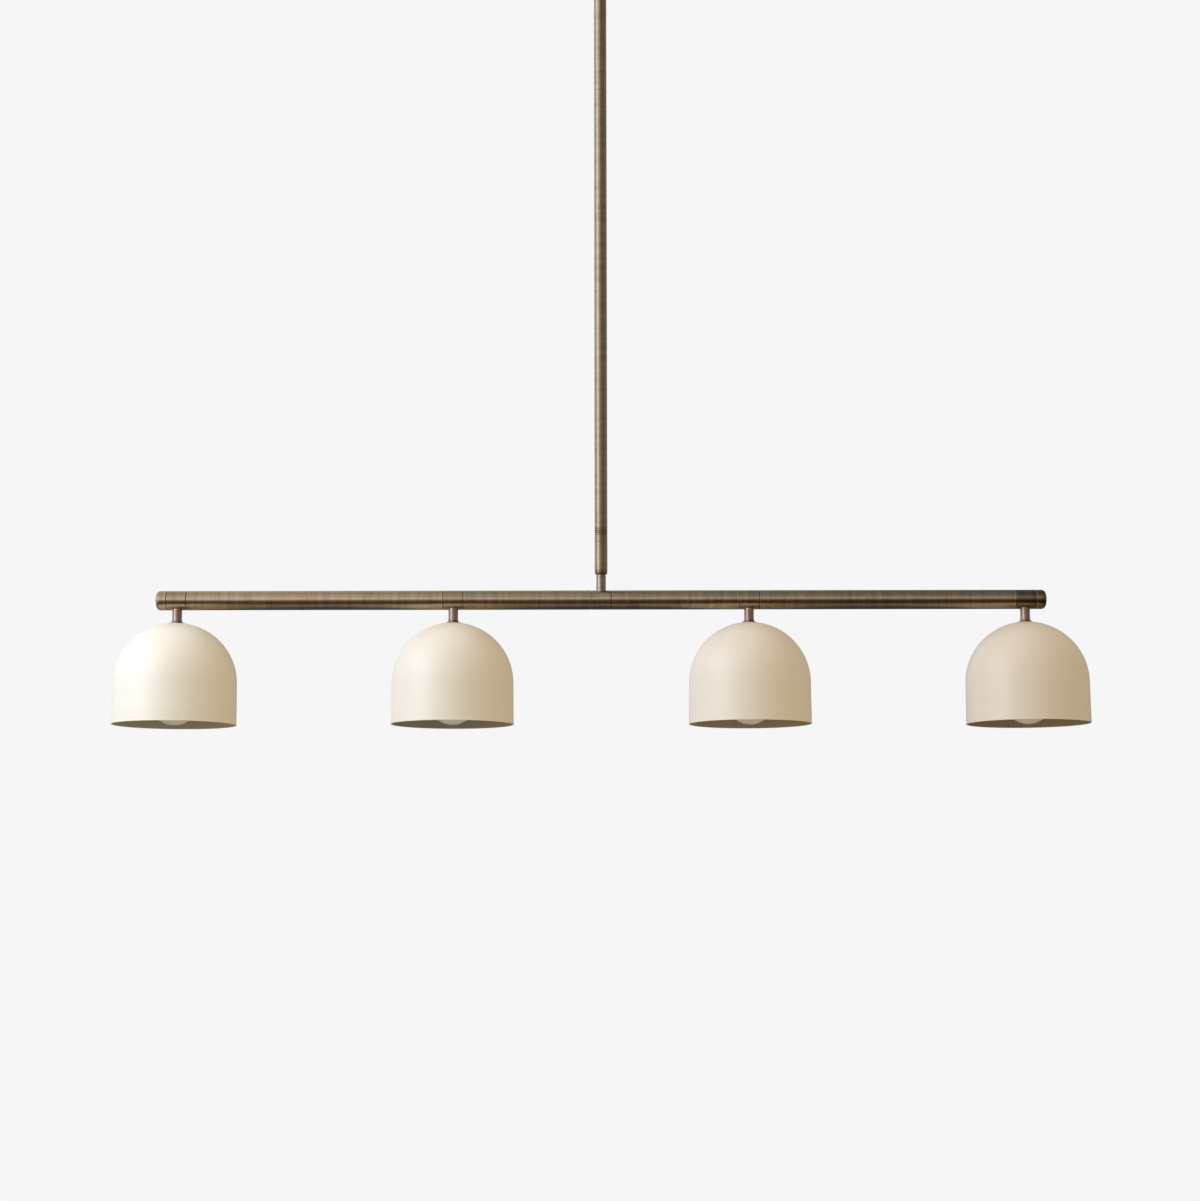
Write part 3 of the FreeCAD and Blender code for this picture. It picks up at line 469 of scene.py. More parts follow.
class LatheMarks(Effect):
    """Fine lines round a turned part, and broader bands of tone along it."""

    title = "lathe marks"
    takes = {
        "Vector": ("NodeSocketVector", None),
        "Lines per metre": ("NodeSocketFloat", 900.0),
        "Bands per metre": ("NodeSocketFloat", 60.0),
        "Seed": ("NodeSocketFloat", 0.0),
    }
    gives = {"Lines": "NodeSocketFloat", "Bands": "NodeSocketFloat", "Drift": "NodeSocketFloat"}

    @classmethod
    def write(cls, tree: Tree, given: Any) -> dict[str, Socket]:
        """Works on the distance along the axis and the distance from it, so ends get rings.

        Args:
            tree: the group's tree.
            given: the group's inputs, as outputs of its input node.

        Returns:
            The socket for each of the group's outputs.
        """
        parts = tree.split(given["Vector"])
        squares = [tree.math("POWER", part, 2.0) for part in (parts[0], parts[1])]
        off_axis = tree.math("SQRT", tree.math("ADD", *squares))
        along = tree.math("ADD", parts[2], off_axis)
        least_radius = 0.0005
        reach = tree.math("MAXIMUM", off_axis, least_radius)
        angle_x = tree.math("DIVIDE", parts[0], reach)
        angle_y = tree.math("DIVIDE", parts[1], reach)

        def pattern(per_metre: Input, swing: float, detail: float) -> Socket:
            """One random pattern that changes fast along the part and slowly round it.

            Args:
                per_metre: how many changes there are in a metre along the part.
                swing: how much it changes round the part.
                detail: how fine it is.

            Returns:
                The pattern's value.
            """
            far = tree.math("ADD", tree.math("MULTIPLY", along, per_metre), given["Seed"])
            near_x = tree.math("MULTIPLY", angle_x, swing)
            near_y = tree.math("MULTIPLY", angle_y, swing)
            return tree.noise(tree.vector(near_x, near_y, far), 1.0, detail, rough=0.62)

        slow = tree.math("MULTIPLY", given["Bands per metre"], 0.16)
        return {
            "Lines": pattern(given["Lines per metre"], swing=0.35, detail=3.0),
            "Bands": pattern(given["Bands per metre"], swing=0.25, detail=2.0),
            "Drift": pattern(slow, swing=0.7, detail=2.0),
        }


class EdgeWear(Effect):
    """A mask that is 1 on outer and inner edges and 0 on plain faces."""

    title = "edge wear"
    takes = {
        "Width": ("NodeSocketFloat", 0.0006),
        "Strength": ("NodeSocketFloat", 4.0),
    }
    gives = {"Mask": "NodeSocketFloat"}

    @classmethod
    def write(cls, tree: Tree, given: Any) -> dict[str, Socket]:
        """Compares the normal, rounded over the width, with the face's own.

        Args:
            tree: the group's tree.
            given: the group's inputs, as outputs of its input node.

        Returns:
            The socket for each of the group's outputs.
        """
        rounded = tree.add("ShaderNodeBevel", {"Radius": given["Width"]}, samples=4).outputs[0]
        own = tree.add("ShaderNodeNewGeometry").outputs["Normal"]
        match = tree.add("ShaderNodeVectorMath", {0: rounded, 1: own}, operation="DOT_PRODUCT")
        away = tree.math("SUBTRACT", 1.0, match.outputs["Value"])
        mask = tree.math("MULTIPLY", away, given["Strength"])
        return {"Mask": tree.add("ShaderNodeClamp", {0: mask}).outputs[0]}


class JointLine(Effect):
    """Masks for a part's two ends: the dark line of old polish and painted shade in the joint, a
    bright band of wear and painted highlight, the tarnish beside them and the turned rings.
    """

    title = "joint line"
    takes = {
        "Along": ("NodeSocketFloat", 0.0),
        "Low end": ("NodeSocketFloat", 0.0),
        "High end": ("NodeSocketFloat", 1.0),
        "Width": ("NodeSocketFloat", 0.0009),
        "Ring pitch": ("NodeSocketFloat", 0.0024),
    }
    gives = {
        "Line": "NodeSocketFloat",
        "Wear and highlight": "NodeSocketFloat",
        "Tarnish": "NodeSocketFloat",
        "Rings": "NodeSocketFloat",
    }

    @classmethod
    def write(cls, tree: Tree, given: Any) -> dict[str, Socket]:
        """Works on the distance to the nearer end, in widths of the line.

        Args:
            tree: the group's tree.
            given: the group's inputs, as outputs of its input node.

        Returns:
            The socket for each of the group's outputs.
        """
        below = tree.math("SUBTRACT", given["Along"], given["Low end"])
        above = tree.math("SUBTRACT", given["High end"], given["Along"])
        gap = tree.math("MINIMUM", below, above)
        near = tree.math("DIVIDE", gap, given["Width"])
        # painted highlight: a bright band near each end, beside the dark line, stands for the shine
        # on the joint's chamfer as well as wear
        highlight_place, ringed_turns = 1.9, 2.5
        off_highlight = tree.math("ABSOLUTE", tree.math("SUBTRACT", near, highlight_place))
        highlight_band = tree.math("SUBTRACT", 1.0, off_highlight)
        turns = tree.math("MULTIPLY", tree.math("DIVIDE", gap, given["Ring pitch"]), 2.0 * math.pi)
        wave = tree.spread(tree.math("COSINE", turns), 0.0, 0.8, 0.0, 1.0)
        reach = tree.math("MULTIPLY", given["Ring pitch"], ringed_turns)
        inside = tree.math("LESS_THAN", gap, reach)
        return {
            # painted shade: the dark line at each end is old polish and the shade in the joint
            # groove
            "Line": tree.spread(near, 0.6, 1.2, 1.0, 0.0),
            "Wear and highlight": tree.math("MAXIMUM", highlight_band, 0.0),
            "Tarnish": tree.spread(near, 1.0, 8.0, 1.0, 0.0),
            "Rings": tree.math("MULTIPLY", wave, inside),
        }


class Dust(Effect):
    """A thin veil of dust on what faces up."""

    title = "dust"
    takes = {
        "Vector": ("NodeSocketVector", None),
        "Amount": ("NodeSocketFloat", 0.1),
    }
    gives = {"Mask": "NodeSocketFloat"}

    @classmethod
    def write(cls, tree: Tree, given: Any) -> dict[str, Socket]:
        """Multiplies how far the face looks up by a fine speckle.

        Args:
            tree: the group's tree.
            given: the group's inputs, as outputs of its input node.

        Returns:
            The socket for each of the group's outputs.
        """
        normal = tree.add("ShaderNodeTexCoord").outputs["Normal"]
        facing = tree.spread(tree.split(normal)[2], 0.35, 1.0, 0.0, 1.0)
        grains = tree.noise(given["Vector"], scale=700.0, detail=3.0, rough=0.7)
        speckle = tree.spread(grains, 0.35, 0.75, 0.2, 1.0)
        veil = tree.math("MULTIPLY", facing, speckle)
        return {"Mask": tree.math("MULTIPLY", veil, given["Amount"])}


# ---- finishes -------------------------------------------------------------------------------


@dataclass(frozen=True)
class Finish:
    """A finish of the pendant: builds one material from its own values."""

    name: str

    def material(self) -> bpy.types.Material:
        """Gives the finish's material, and builds it the first time.

        Returns:
            The material.
        """
        found = bpy.data.materials.get(self.name)
        if found is not None:
            return found
        material = bpy.data.materials.new(self.name)
        tree = Tree.of(material)
        tree.add("ShaderNodeOutputMaterial", {"Surface": self.write(tree)})
        return material

    def write(self, tree: Tree) -> Socket:
        """Writes the material's nodes and gives the surface."""
        raise NotImplementedError

    def dress(self, piece: bpy.types.Object) -> None:
        """Puts the material on every slot of a piece.

        Args:
            piece: the piece or CAD node.
        """
        material = self.material()
        if not piece.material_slots:
            piece.data.materials.append(material)
        for slot in piece.material_slots:
            slot.material = material

    @staticmethod
    def place(
        tree: Tree, centre: Point = (0.0, 0.0, 0.0), axis: Axis = Axis.Z
    ) -> Socket:
        """Gives object coordinates with a part's axis brought upright through the origin.

        Args:
            tree: the material's tree.
            centre: a point on the part's axis.
            axis: the line that the part was turned on.

        Returns:
            The coordinates.
        """
        own = tree.add("ShaderNodeTexCoord").outputs["Object"]
        moved = tree.add("ShaderNodeVectorMath", {0: own, 1: centre}, operation="SUBTRACT")
        values = {"Vector": moved.outputs[0], "Rotation": axis.value}
        return tree.add("ShaderNodeMapping", values).outputs[0]


@dataclass(frozen=True)
class AgedBrass(Finish):
    """Antiqued brass, turned and brushed round, with darker and greener patches."""

    axis: Axis = Axis.Z
    centre: Point = (0.0, 0.0, 0.0)
    light: Colour = (0.47, 0.357, 0.238)
    dark: Colour = (0.36, 0.259, 0.158)
    copper: Colour = (0.46, 0.305, 0.215)
    worn: Colour = (0.74, 0.60, 0.43)
    tarnish: Colour = (0.30, 0.19, 0.12)
    ring_tone: Colour = (0.15, 0.075, 0.05)
    # painted highlight: the colour of the bright band beside each joint, partly wear
    wear_and_highlight: Colour = (0.78, 0.66, 0.49)
    # painted shade: the colour of the dark line in each joint, partly old polish
    polish_and_joint_shade: Colour = (0.09, 0.055, 0.035)
    ends: tuple[float, float] | None = None
    rings: float = 0.0
    seed: float = 0.0
    mottle: float = 0.8
    roughness: float = 0.36

    def toned(self, name: str, seed: float, level: float = 1.0, pink: float = 0.0) -> AgedBrass:
        """Gives the same brass for another part.

        Args:
            name: the new finish's name.
            seed: where its marks start.
            level: how much lighter it is, as a factor.
            pink: how pink it is, about 0 to 1.

        Returns:
            The finish for that part.
        """
        warm = (1.0 + 0.02 * pink, 1.0, 1.0 + 0.25 * pink)
        light, dark, copper = (
            tuple(level * part * share for part, share in zip(colour, warm))
            for colour in (self.light, self.dark, self.copper)
        )
        return replace(self, name=name, seed=seed, light=light, dark=dark, copper=copper)

    def write(self, tree: Tree) -> Socket:
        """Tone from the bands, streaks from the lines, bright worn edges.

        Args:
            tree: the material's tree.

        Returns:
            The surface.
        """
        vector = self.place(tree, self.centre, self.axis)
        values = {"Vector": vector, "Lines per metre": 560.0, "Bands per metre": 110.0}
        marks = LatheMarks.put(tree, values | {"Seed": self.seed})
        tone = tree.spread(marks["Bands"], 0.36, 0.66, 0.0, self.mottle)
        base = tree.blend(tone, self.light, self.dark)
        drift = tree.spread(marks["Drift"], 0.48, 0.72, 0.0, 0.7)
        base = tree.blend(drift, base, self.copper)
        base = tree.tinted(base, tree.spread(marks["Lines"], 0.32, 0.68, 0.85, 1.13))
        wear = EdgeWear.put(tree, {"Width": 0.0008, "Strength": 4.0})["Mask"]
        base = tree.blend(tree.math("MULTIPLY", wear, 0.6), base, self.worn)
        if self.ends is not None:
            base = self.with_joints(tree, base, tree.split(vector)[2])
        dust = Dust.put(tree, {"Vector": vector, "Amount": 0.10})["Mask"]
        smooth, rough = self.roughness - 0.04, self.roughness + 0.05
        grain = tree.spread(marks["Lines"], 0.3, 0.7, smooth, rough)
        tangent = tree.add("ShaderNodeTangent", direction_type="RADIAL", axis=self.axis.name)
        return tree.principled(
            {
                "Base Color": base,
                "Metallic": 1.0,
                "Roughness": tree.math("ADD", grain, tree.math("MULTIPLY", dust, 1.2)),
                "Normal": tree.bump(marks["Lines"], strength=0.04, distance=0.0001),
                "Anisotropic": 0.9,
                "Anisotropic Rotation": 0.25,
                "Tangent": tangent.outputs[0],
            }
        )

    def with_joints(self, tree: Tree, base: Socket, along: Socket) -> Socket:
        """Adds the tarnish, turned rings, bright band and dark line at the part's ends: the band is
        wear and painted highlight, the line old polish and painted shade in the joint.

        Args:
            tree: the material's tree.
            base: the colour so far.
            along: the distance along the part's axis.

        Returns:
            The colour with them.
        """
        low, high = self.ends
        joint = JointLine.put(tree, {"Along": along, "Low end": low, "High end": high})
        shares = {
            "Tarnish": (0.25, self.tarnish),
            "Rings": (self.rings, self.ring_tone),
            # painted highlight and wear beside the joint
            "Wear and highlight": (0.0 if self.rings else 0.45, self.wear_and_highlight),
            # painted shade and old polish in the joint
            "Line": (0.3 if self.rings else 0.85, self.polish_and_joint_shade),
        }
        for mask, (share, colour) in shares.items():
            base = tree.blend(tree.math("MULTIPLY", joint[mask], share), base, colour)
        return base


@dataclass(frozen=True)
class SatinPaint(Finish):
    """Champagne metallic paint on spun metal with a satin coat; inside the dome the colour is
    darker, painted shade.
    """

    centre: Point = (0.0, 0.0, 0.0)
    colour: Colour = (0.70, 0.60, 0.485)
    # painted shade: the inside colour is darker to stand for the shade inside the dome
    inside: Colour = (0.37, 0.325, 0.25)
    dust: Colour = (0.75, 0.73, 0.69)
    middle: float = -0.07444
    inner_radius: float = 0.07505
    seed: float = 0.0

    def write(self, tree: Tree) -> Socket:
        """Slow tone changes, faint rings round the shade and a fine orange peel.

        Args:
            tree: the material's tree.

        Returns:
            The surface.
        """
        vector = self.place(tree, self.centre)
        values = {"Vector": vector, "Lines per metre": 700.0, "Bands per metre": 70.0}
        marks = LatheMarks.put(tree, values | {"Seed": self.seed})
        bands = tree.spread(marks["Bands"], 0.35, 0.65, 0.99, 1.01)
        lines = tree.spread(marks["Lines"], 0.3, 0.7, 0.993, 1.007)
        parts = tree.split(vector)
        above = tree.math("MAXIMUM", tree.math("SUBTRACT", parts[2], self.middle), 0.0)
        away = tree.length(tree.vector(parts[0], parts[1], above))
        soft = 0.0002
        inner, outer = self.inner_radius - soft, self.inner_radius + soft
        # painted shade: the inside of the dome takes the darker inside colour
        base = tree.blend(tree.spread(away, inner, outer, 1.0, 0.0), self.colour, self.inside)
        base = tree.tinted(base, tree.math("MULTIPLY", bands, lines))
        dust = Dust.put(tree, {"Vector": vector, "Amount": 0.12})["Mask"]
        peel = tree.noise(vector, scale=900.0, detail=2.0)
        rings = tree.math("MULTIPLY", marks["Lines"], 0.6)
        height = tree.math("ADD", tree.math("MULTIPLY", peel, 0.4), rings)
        return tree.principled(
            {
                "Base Color": tree.blend(dust, base, self.dust),
                "Metallic": 0.0,
                "Roughness": tree.spread(peel, 0.3, 0.7, 0.40, 0.48),
                "Normal": tree.bump(height, strength=0.12, distance=0.0002),
                "Specular IOR Level": 0.5,
            }
        )


@dataclass(frozen=True)
class PlainMetal(Finish):
    """Plated, plain or blackened small metal parts with fine tool marks."""

    colour: Colour = (0.62, 0.62, 0.60)
    tarnish: Colour = (0.42, 0.41, 0.39)
    roughness: float = 0.34
    seed: float = 0.0

    def write(self, tree: Tree) -> Socket:
        """Patchy tarnish, a fine grain and bright edges.

        Args:
            tree: the material's tree.

        Returns:
            The surface.
        """
        vector = self.place(tree)
        patches = tree.noise(vector, scale=160.0, detail=4.0, rough=0.6)
        base = tree.blend(tree.spread(patches, 0.4, 0.7, 0.0, 0.8), self.colour, self.tarnish)
        grain = tree.noise(vector, scale=2600.0, detail=2.0)
        wear = EdgeWear.put(tree, {"Width": 0.0003, "Strength": 2.5})["Mask"]
        bright = tuple(min(1.0, part * 1.3) for part in self.colour)
        smooth, rough = self.roughness - 0.06, self.roughness + 0.10
        return tree.principled(
            {
                "Base Color": tree.blend(tree.math("MULTIPLY", wear, 0.3), base, bright),
                "Metallic": 1.0,
                "Roughness": tree.spread(grain, 0.3, 0.7, smooth, rough),
                "Normal": tree.bump(grain, strength=0.15, distance=0.0001),
            }
        )


@dataclass(frozen=True)
class GreenScrew(Finish):
    """Green paint of the ground screw, chipped on its edges."""

    colour: Colour = (0.08, 0.34, 0.14)
    steel: Colour = (0.6, 0.6, 0.58)

    def write(self, tree: Tree) -> Socket:
        """Paint over steel, with the steel showing where the edge is worn.

        Args:
            tree: the material's tree.

        Returns:
            The surface.
        """
        vector = self.place(tree)
        flakes = tree.noise(vector, scale=1400.0, detail=4.0, rough=0.65)
        chips = tree.spread(flakes, 0.45, 0.62, 0.0, 1.0)
        wear = EdgeWear.put(tree, {"Width": 0.0004, "Strength": 5.0})["Mask"]
        bare = tree.math("MULTIPLY", wear, chips)
        tone = tree.spread(tree.noise(vector, scale=300.0), 0.3, 0.7, 0.85, 1.1)
        return tree.principled(
            {
                "Base Color": tree.blend(bare, tree.tinted(self.colour, tone), self.steel),
                "Metallic": bare,
                "Roughness": tree.spread(chips, 0.0, 1.0, 0.34, 0.44),
            }
        )


@dataclass(frozen=True)
class Porcelain(Finish):
    """Glazed porcelain of the sockets."""

    colour: Colour = (0.86, 0.85, 0.81)
    cloudy: Colour = (0.80, 0.785, 0.73)
    iron: Colour = (0.35, 0.28, 0.2)

    def write(self, tree: Tree) -> Socket:
        """Clean glaze with a slow waviness, a few iron specks and bare clay on the edges.

        Args:
            tree: the material's tree.

        Returns:
            The surface.
        """
        vector = self.place(tree)
        speck = tree.spread(tree.noise(vector, 1800.0, 1.0), 0.72, 0.78, 0.0, 0.5)
        cloud = tree.spread(tree.noise(vector, 90.0, 2.0), 0.35, 0.65, 0.0, 0.35)
        base = tree.blend(cloud, self.colour, self.cloudy)
        wear = EdgeWear.put(tree, {"Width": 0.0006, "Strength": 3.0})["Mask"]
        wave = tree.noise(vector, scale=120.0, detail=2.0)
        return tree.principled(
            {
                "Base Color": tree.blend(speck, base, self.iron),
                "Roughness": tree.spread(wear, 0.0, 1.0, 0.12, 0.55),
                "Normal": tree.bump(wave, strength=0.08, distance=0.0004),
                "Specular IOR Level": 0.6,
            }
        )


@dataclass(frozen=True)
class FrostedGlass(Finish):
    """Inside-frosted bulb glass, unlit: milky, with a gloss outside."""

    colour: Colour = (0.66, 0.60, 0.53)

    def write(self, tree: Tree) -> Socket:
        """A milky body with a very fine frost and a smooth outer gloss.

        Args:
            tree: the material's tree.

        Returns:
            The surface.
        """
        vector = self.place(tree)
        frost = tree.noise(vector, scale=2400.0, detail=2.0)
        cloud = tree.spread(tree.noise(vector, 60.0, 2.0), 0.35, 0.65, 0.0, 1.0)
        denser = tuple(part * 0.93 for part in self.colour)
        return tree.principled(
            {
                "Base Color": tree.blend(cloud, self.colour, denser),
                "Roughness": tree.spread(frost, 0.3, 0.7, 0.24, 0.34),
                "Transmission Weight": 0.12,
                "IOR": 1.45,
                "Coat Weight": 0.25,
                "Coat Roughness": 0.06,
            }
        )


@dataclass(frozen=True)
class Sheath(Finish):
    """Matt plastic of leads and sleeves."""

    colour: Colour = (0.10, 0.10, 0.10)
    roughness: float = 0.6

    def write(self, tree: Tree) -> Socket:
        """A fine grain with slightly paler scuffs.

        Args:
            tree: the material's tree.

        Returns:
            The surface.
        """
        vector = self.place(tree)
        grain = tree.noise(vector, scale=2200.0, detail=3.0)
        scuff = tree.spread(tree.noise(vector, 260.0, 4.0), 0.52, 0.75, 0.0, 0.5)
        paler = tuple(part * 0.6 + 0.15 for part in self.colour)
        smooth, rough = self.roughness - 0.08, self.roughness + 0.08
        return tree.principled(
            {
                "Base Color": tree.blend(scuff, self.colour, paler),
                "Roughness": tree.spread(grain, 0.3, 0.7, smooth, rough),
                "Normal": tree.bump(grain, strength=0.2, distance=0.0002),
            }
        )


# ---- shapes that follow a rule --------------------------------------------------------------


@dataclass(frozen=True)
class Recipe:
    """A shape that follows a rule, made by Geometry Nodes at each of its places.

    The fields of each kind of shape are the named inputs of its node tree.
    """

    title: ClassVar[str] = ""

    segments: int = 48

    def shape(self, lathe: Lathe, given: SimpleNamespace) -> None:
        """Writes the shape's strips.

        Args:
            lathe: takes the strips.
            given: the tree's named inputs, as numbers for sums.
        """
        raise NotImplementedError

    def group(self, turn: Point) -> bpy.types.NodeTree:
        """Builds the node tree: the shape, put on every point, made real and given its finish.

        Args:
            turn: how the shape is turned at each place.

        Returns:
            The node tree.
        """
        group = bpy.data.node_groups.new(self.title, "GeometryNodeTree")
        group.interface.new_socket("Places", in_out="INPUT", socket_type="NodeSocketGeometry")
        for field in fields(self):
            whole = isinstance(getattr(self, field.name), int)
            kind = "NodeSocketInt" if whole else "NodeSocketFloat"
            group.interface.new_socket(field.name, in_out="INPUT", socket_type=kind)
        group.interface.new_socket("Finish", in_out="INPUT", socket_type="NodeSocketMaterial")
        group.interface.new_socket("Piece", in_out="OUTPUT", socket_type="NodeSocketGeometry")
        tree = Tree(group)
        inputs = tree.add("NodeGroupInput").outputs
        lathe = Lathe(tree, inputs["segments"])
        sizes = {field.name: Quantity(tree, inputs[field.name]) for field in fields(self)}
        self.shape(lathe, SimpleNamespace(**sizes))
        values = {"Points": inputs["Places"], "Instance": lathe.done(), "Rotation": turn}
        spread = tree.add("GeometryNodeInstanceOnPoints", values)
        real = tree.add("GeometryNodeRealizeInstances", {"Geometry": spread.outputs[0]})
        values = {"Geometry": real.outputs[0], "Material": inputs["Finish"]}
        coated = tree.add("GeometryNodeSetMaterial", values)
        tree.add("NodeGroupOutput", {"Piece": coated.outputs[0]})
        return group

    def cast(
        self, name: str, places: list[Point], finish: Finish, turn: Point = (0.0, 0.0, 0.0)
    ) -> bpy.types.Object:
        """Makes one plain mesh with the shape at every place.

        Args:
            name: the new piece's name.
            places: where the shape's own origin goes.
            finish: the finish of the piece.
            turn: how the shape is turned at each place, in radians about X, Y and Z.

        Returns:
            The piece, at the origin and with no modifier.
        """
        points = bpy.data.meshes.new(f"{name} places")
        points.from_pydata(places, [], [])
        holder = put_in_scene(points.name, points)
        modifier = holder.modifiers.new("recipe", "NODES")
        modifier.node_group = self.group(turn)
        values = {field.name: getattr(self, field.name) for field in fields(self)}
        values["Finish"] = finish.material()
        for item in modifier.node_group.interface.items_tree:
            if item.in_out == "INPUT" and item.name in values:
                modifier[item.identifier] = values[item.name]
        evaluated = holder.evaluated_get(bpy.context.evaluated_depsgraph_get())
        mesh = bpy.data.meshes.new_from_object(evaluated)
        bpy.data.objects.remove(holder)
        mesh.name = name
        return put_in_scene(name, mesh)


@dataclass(frozen=True)
class SpunShade(Recipe):
    """A spun dome: flat crown, ball top, nearly straight side and a rolled hem at the rim."""

    title = "spun shade"

    segments: int = 192
    hole: float = 0.00505
    crown: float = 0.012
    dome: float = 0.0754
    depth: float = 0.126
    wall: float = 0.0012
    flare: float = 0.0005
    roll: float = 0.00075
    roll_height: float = 0.001

    def shape(self, lathe: Lathe, given: SimpleNamespace) -> None:
        """Walks from the hole over the dome and round the hem, and back up inside.

        Args:
            lathe: takes the strips.
            given: the tree's named inputs, as numbers for sums.
        """
        hole, crown, dome, wall = given.hole, given.crown, given.dome, given.wall
        middle = (dome * dome - crown * crown).sum("SQRT") * -1.0
        bottom, under = given.depth * -1.0, wall * -1.0
        inside = dome - wall
        edge = inside + given.flare
        hem = (edge + given.roll, bottom + given.roll_height)
        side_foot, groove_height, groove_depth = 0.0024, 0.0020, 0.00005
        side_end = (dome + given.flare * 0.96, bottom + side_foot)
        groove = (dome + given.flare - groove_depth, bottom + groove_height)
        top = (middle / dome * -1.0).sum("ARCSINE")
        inner_top = ((middle + wall) / inside * -1.0).sum("ARCSINE")
        start, end = math.radians(52.0), -math.pi
        roll_start = (
            hem[0] + given.roll * math.cos(start),
            hem[1] + given.roll_height * math.sin(start),
        )
        ball_rows, hem_rows = 48, 18
        lathe.line((hole, 0.0), (crown, 0.0), 3)
        lathe.arc((0.0, middle), (dome, dome), top, 0.0, ball_rows)
        lathe.line((dome, middle), side_end, 5)
        lathe.path(side_end, groove, roll_start)
        lathe.arc(hem, (given.roll, given.roll_height), start, end, hem_rows)
        lathe.line((edge, hem[1]), (inside, middle), 5)
        lathe.arc((0.0, middle), (inside, inside), 0.0, inner_top, ball_rows)
        lathe.line((inner_top.sum("COSINE") * inside, under), (hole, under), 3)
        lathe.line((hole, under), (hole, 0.0))


@dataclass(frozen=True)
class FlaredNeck(Recipe):
    """A turned neck that opens in a hollow curve to a thin foot on the shade's crown."""

    title = "flared neck"

    segments: int = 96
    radius: float = 0.006
    bore: float = 0.00505
    height: float = 0.0193
    flare: float = 0.005
    edge: float = 0.0004

    def shape(self, lathe: Lathe, given: SimpleNamespace) -> None:
        """Walks down the neck and out along the foot, and back up the bore.

        Args:
            lathe: takes the strips.
            given: the tree's named inputs, as numbers for sums.
        """
        radius, bore, flare, edge = given.radius, given.bore, given.flare, given.edge
        rim = radius + flare
        hollow_rows = 16
        lathe.line((bore, given.height), (radius, given.height))
        lathe.line((radius, given.height), (radius, edge + flare), 4)
        lathe.arc((rim, edge + flare), (flare, flare), math.pi, 1.5 * math.pi, hollow_rows)
        lathe.path((rim, edge), (rim, 0.0), (bore, 0.0))
        lathe.line((bore, 0.0), (bore, given.height), 3)


@dataclass(frozen=True)
class RingedFerrule(Recipe):
    """The short tube at the stem's foot: turned rings below its top, and a drawn-in foot."""

    title = "ringed ferrule"

    segments: int = 96
    radius: float = 0.008
    bore: float = 0.0065
    length: float = 0.0542
    ring_pitch: float = 0.0024
    ring_depth: float = 0.0003
    lone_ring: float = 0.0138
    foot_draw: float = 0.00135
    foot_height: float = 0.0045

    def shape(self, lathe: Lathe, given: SimpleNamespace) -> None:
        """Walks down the rings, the plain tube and the foot, and back up the bore.

        Args:
            lathe: takes the strips.
            given: the tree's named inputs, as numbers for sums.
        """
        radius, bore = given.radius, given.bore
        pitch, depth = given.ring_pitch, given.ring_depth
        bottom, lone = given.length * -1.0, given.lone_ring * -1.0
        chamfer, half_ring = 0.0003, 0.0004
        ringed = pitch * -2.5 - chamfer
        foot = (radius - given.foot_draw, bottom + given.foot_height)

        def rings(along: Quantity, around: Quantity) -> Spot:
            """A spot of the rings, cut as narrow rounded grooves.

            Args:
                along: the share along the strip.
                around: the share round it.

            Returns:
                Its radius and its height.
            """
            height = along * (ringed + chamfer) - chamfer
            wave = (height / pitch * (2.0 * math.pi)).sum("COSINE") * 0.5 + 0.5
            return radius - wave.sum("POWER", 3.0) * (along * 12.0).clamped() * depth, height

        lathe.path((bore, 0.0), (radius - chamfer, 0.0), (radius, -chamfer))
        lathe.strip(60, rings)
        lathe.line((radius, ringed), (radius, lone + half_ring), 4)
        lathe.path((radius, lone + half_ring), (radius - depth, lone), (radius, lone - half_ring))
        lathe.line((radius, lone - half_ring), (radius, foot[1]), 6)
        lathe.arc(foot, (given.foot_draw, given.foot_height), 0.0, -math.pi / 2, 18)
        lathe.line((foot[0], bottom), (bore, bottom))
        lathe.line((bore, bottom), (bore, 0.0), 4)


@dataclass(frozen=True)
class BulbGlass(Recipe):
    """The blown glass of a bulb: a straight neck, a flared shoulder and a ball, open at the top."""

    title = "bulb glass"

    segments: int = 128
    neck: float = 0.0122
    neck_top: float = -0.024
    neck_foot: float = -0.030
    ball: float = 0.030
    centre: float = -0.078
    wall: float = 0.0008

    def shape(self, lathe: Lathe, given: SimpleNamespace) -> None:
        """Walks down the outside to the pole, and back up the inside.

        Args:
            lathe: takes the strips.
            given: the tree's named inputs, as numbers for sums.
        """
        neck, ball, wall = given.neck, given.ball, given.wall
        top, foot = given.neck_top, given.neck_foot
        drop = foot - given.centre
        flare = (drop * drop + neck * neck - ball * ball) / ((ball - neck) * 2.0)
        bend = (drop / (neck + flare)).sum("ARCTANGENT")
        middle = (neck + flare, foot)
        pole = -math.pi / 2
        ball_rows, shoulder_rows = 48, 24
        lathe.line((neck - wall, top), (neck, top))
        lathe.line((neck, top), (neck, foot), 3)
        lathe.arc(middle, (flare, flare), math.pi, bend + math.pi, shoulder_rows)
        lathe.arc((0.0, given.centre), (ball, ball), bend, pole, ball_rows)
        inner, outer = ball - wall, flare + wall
        lathe.arc((0.0, given.centre), (inner, inner), pole, bend, ball_rows)
        lathe.arc(middle, (outer, outer), bend + math.pi, math.pi, shoulder_rows)
        lathe.line((neck - wall, foot), (neck - wall, top), 3)


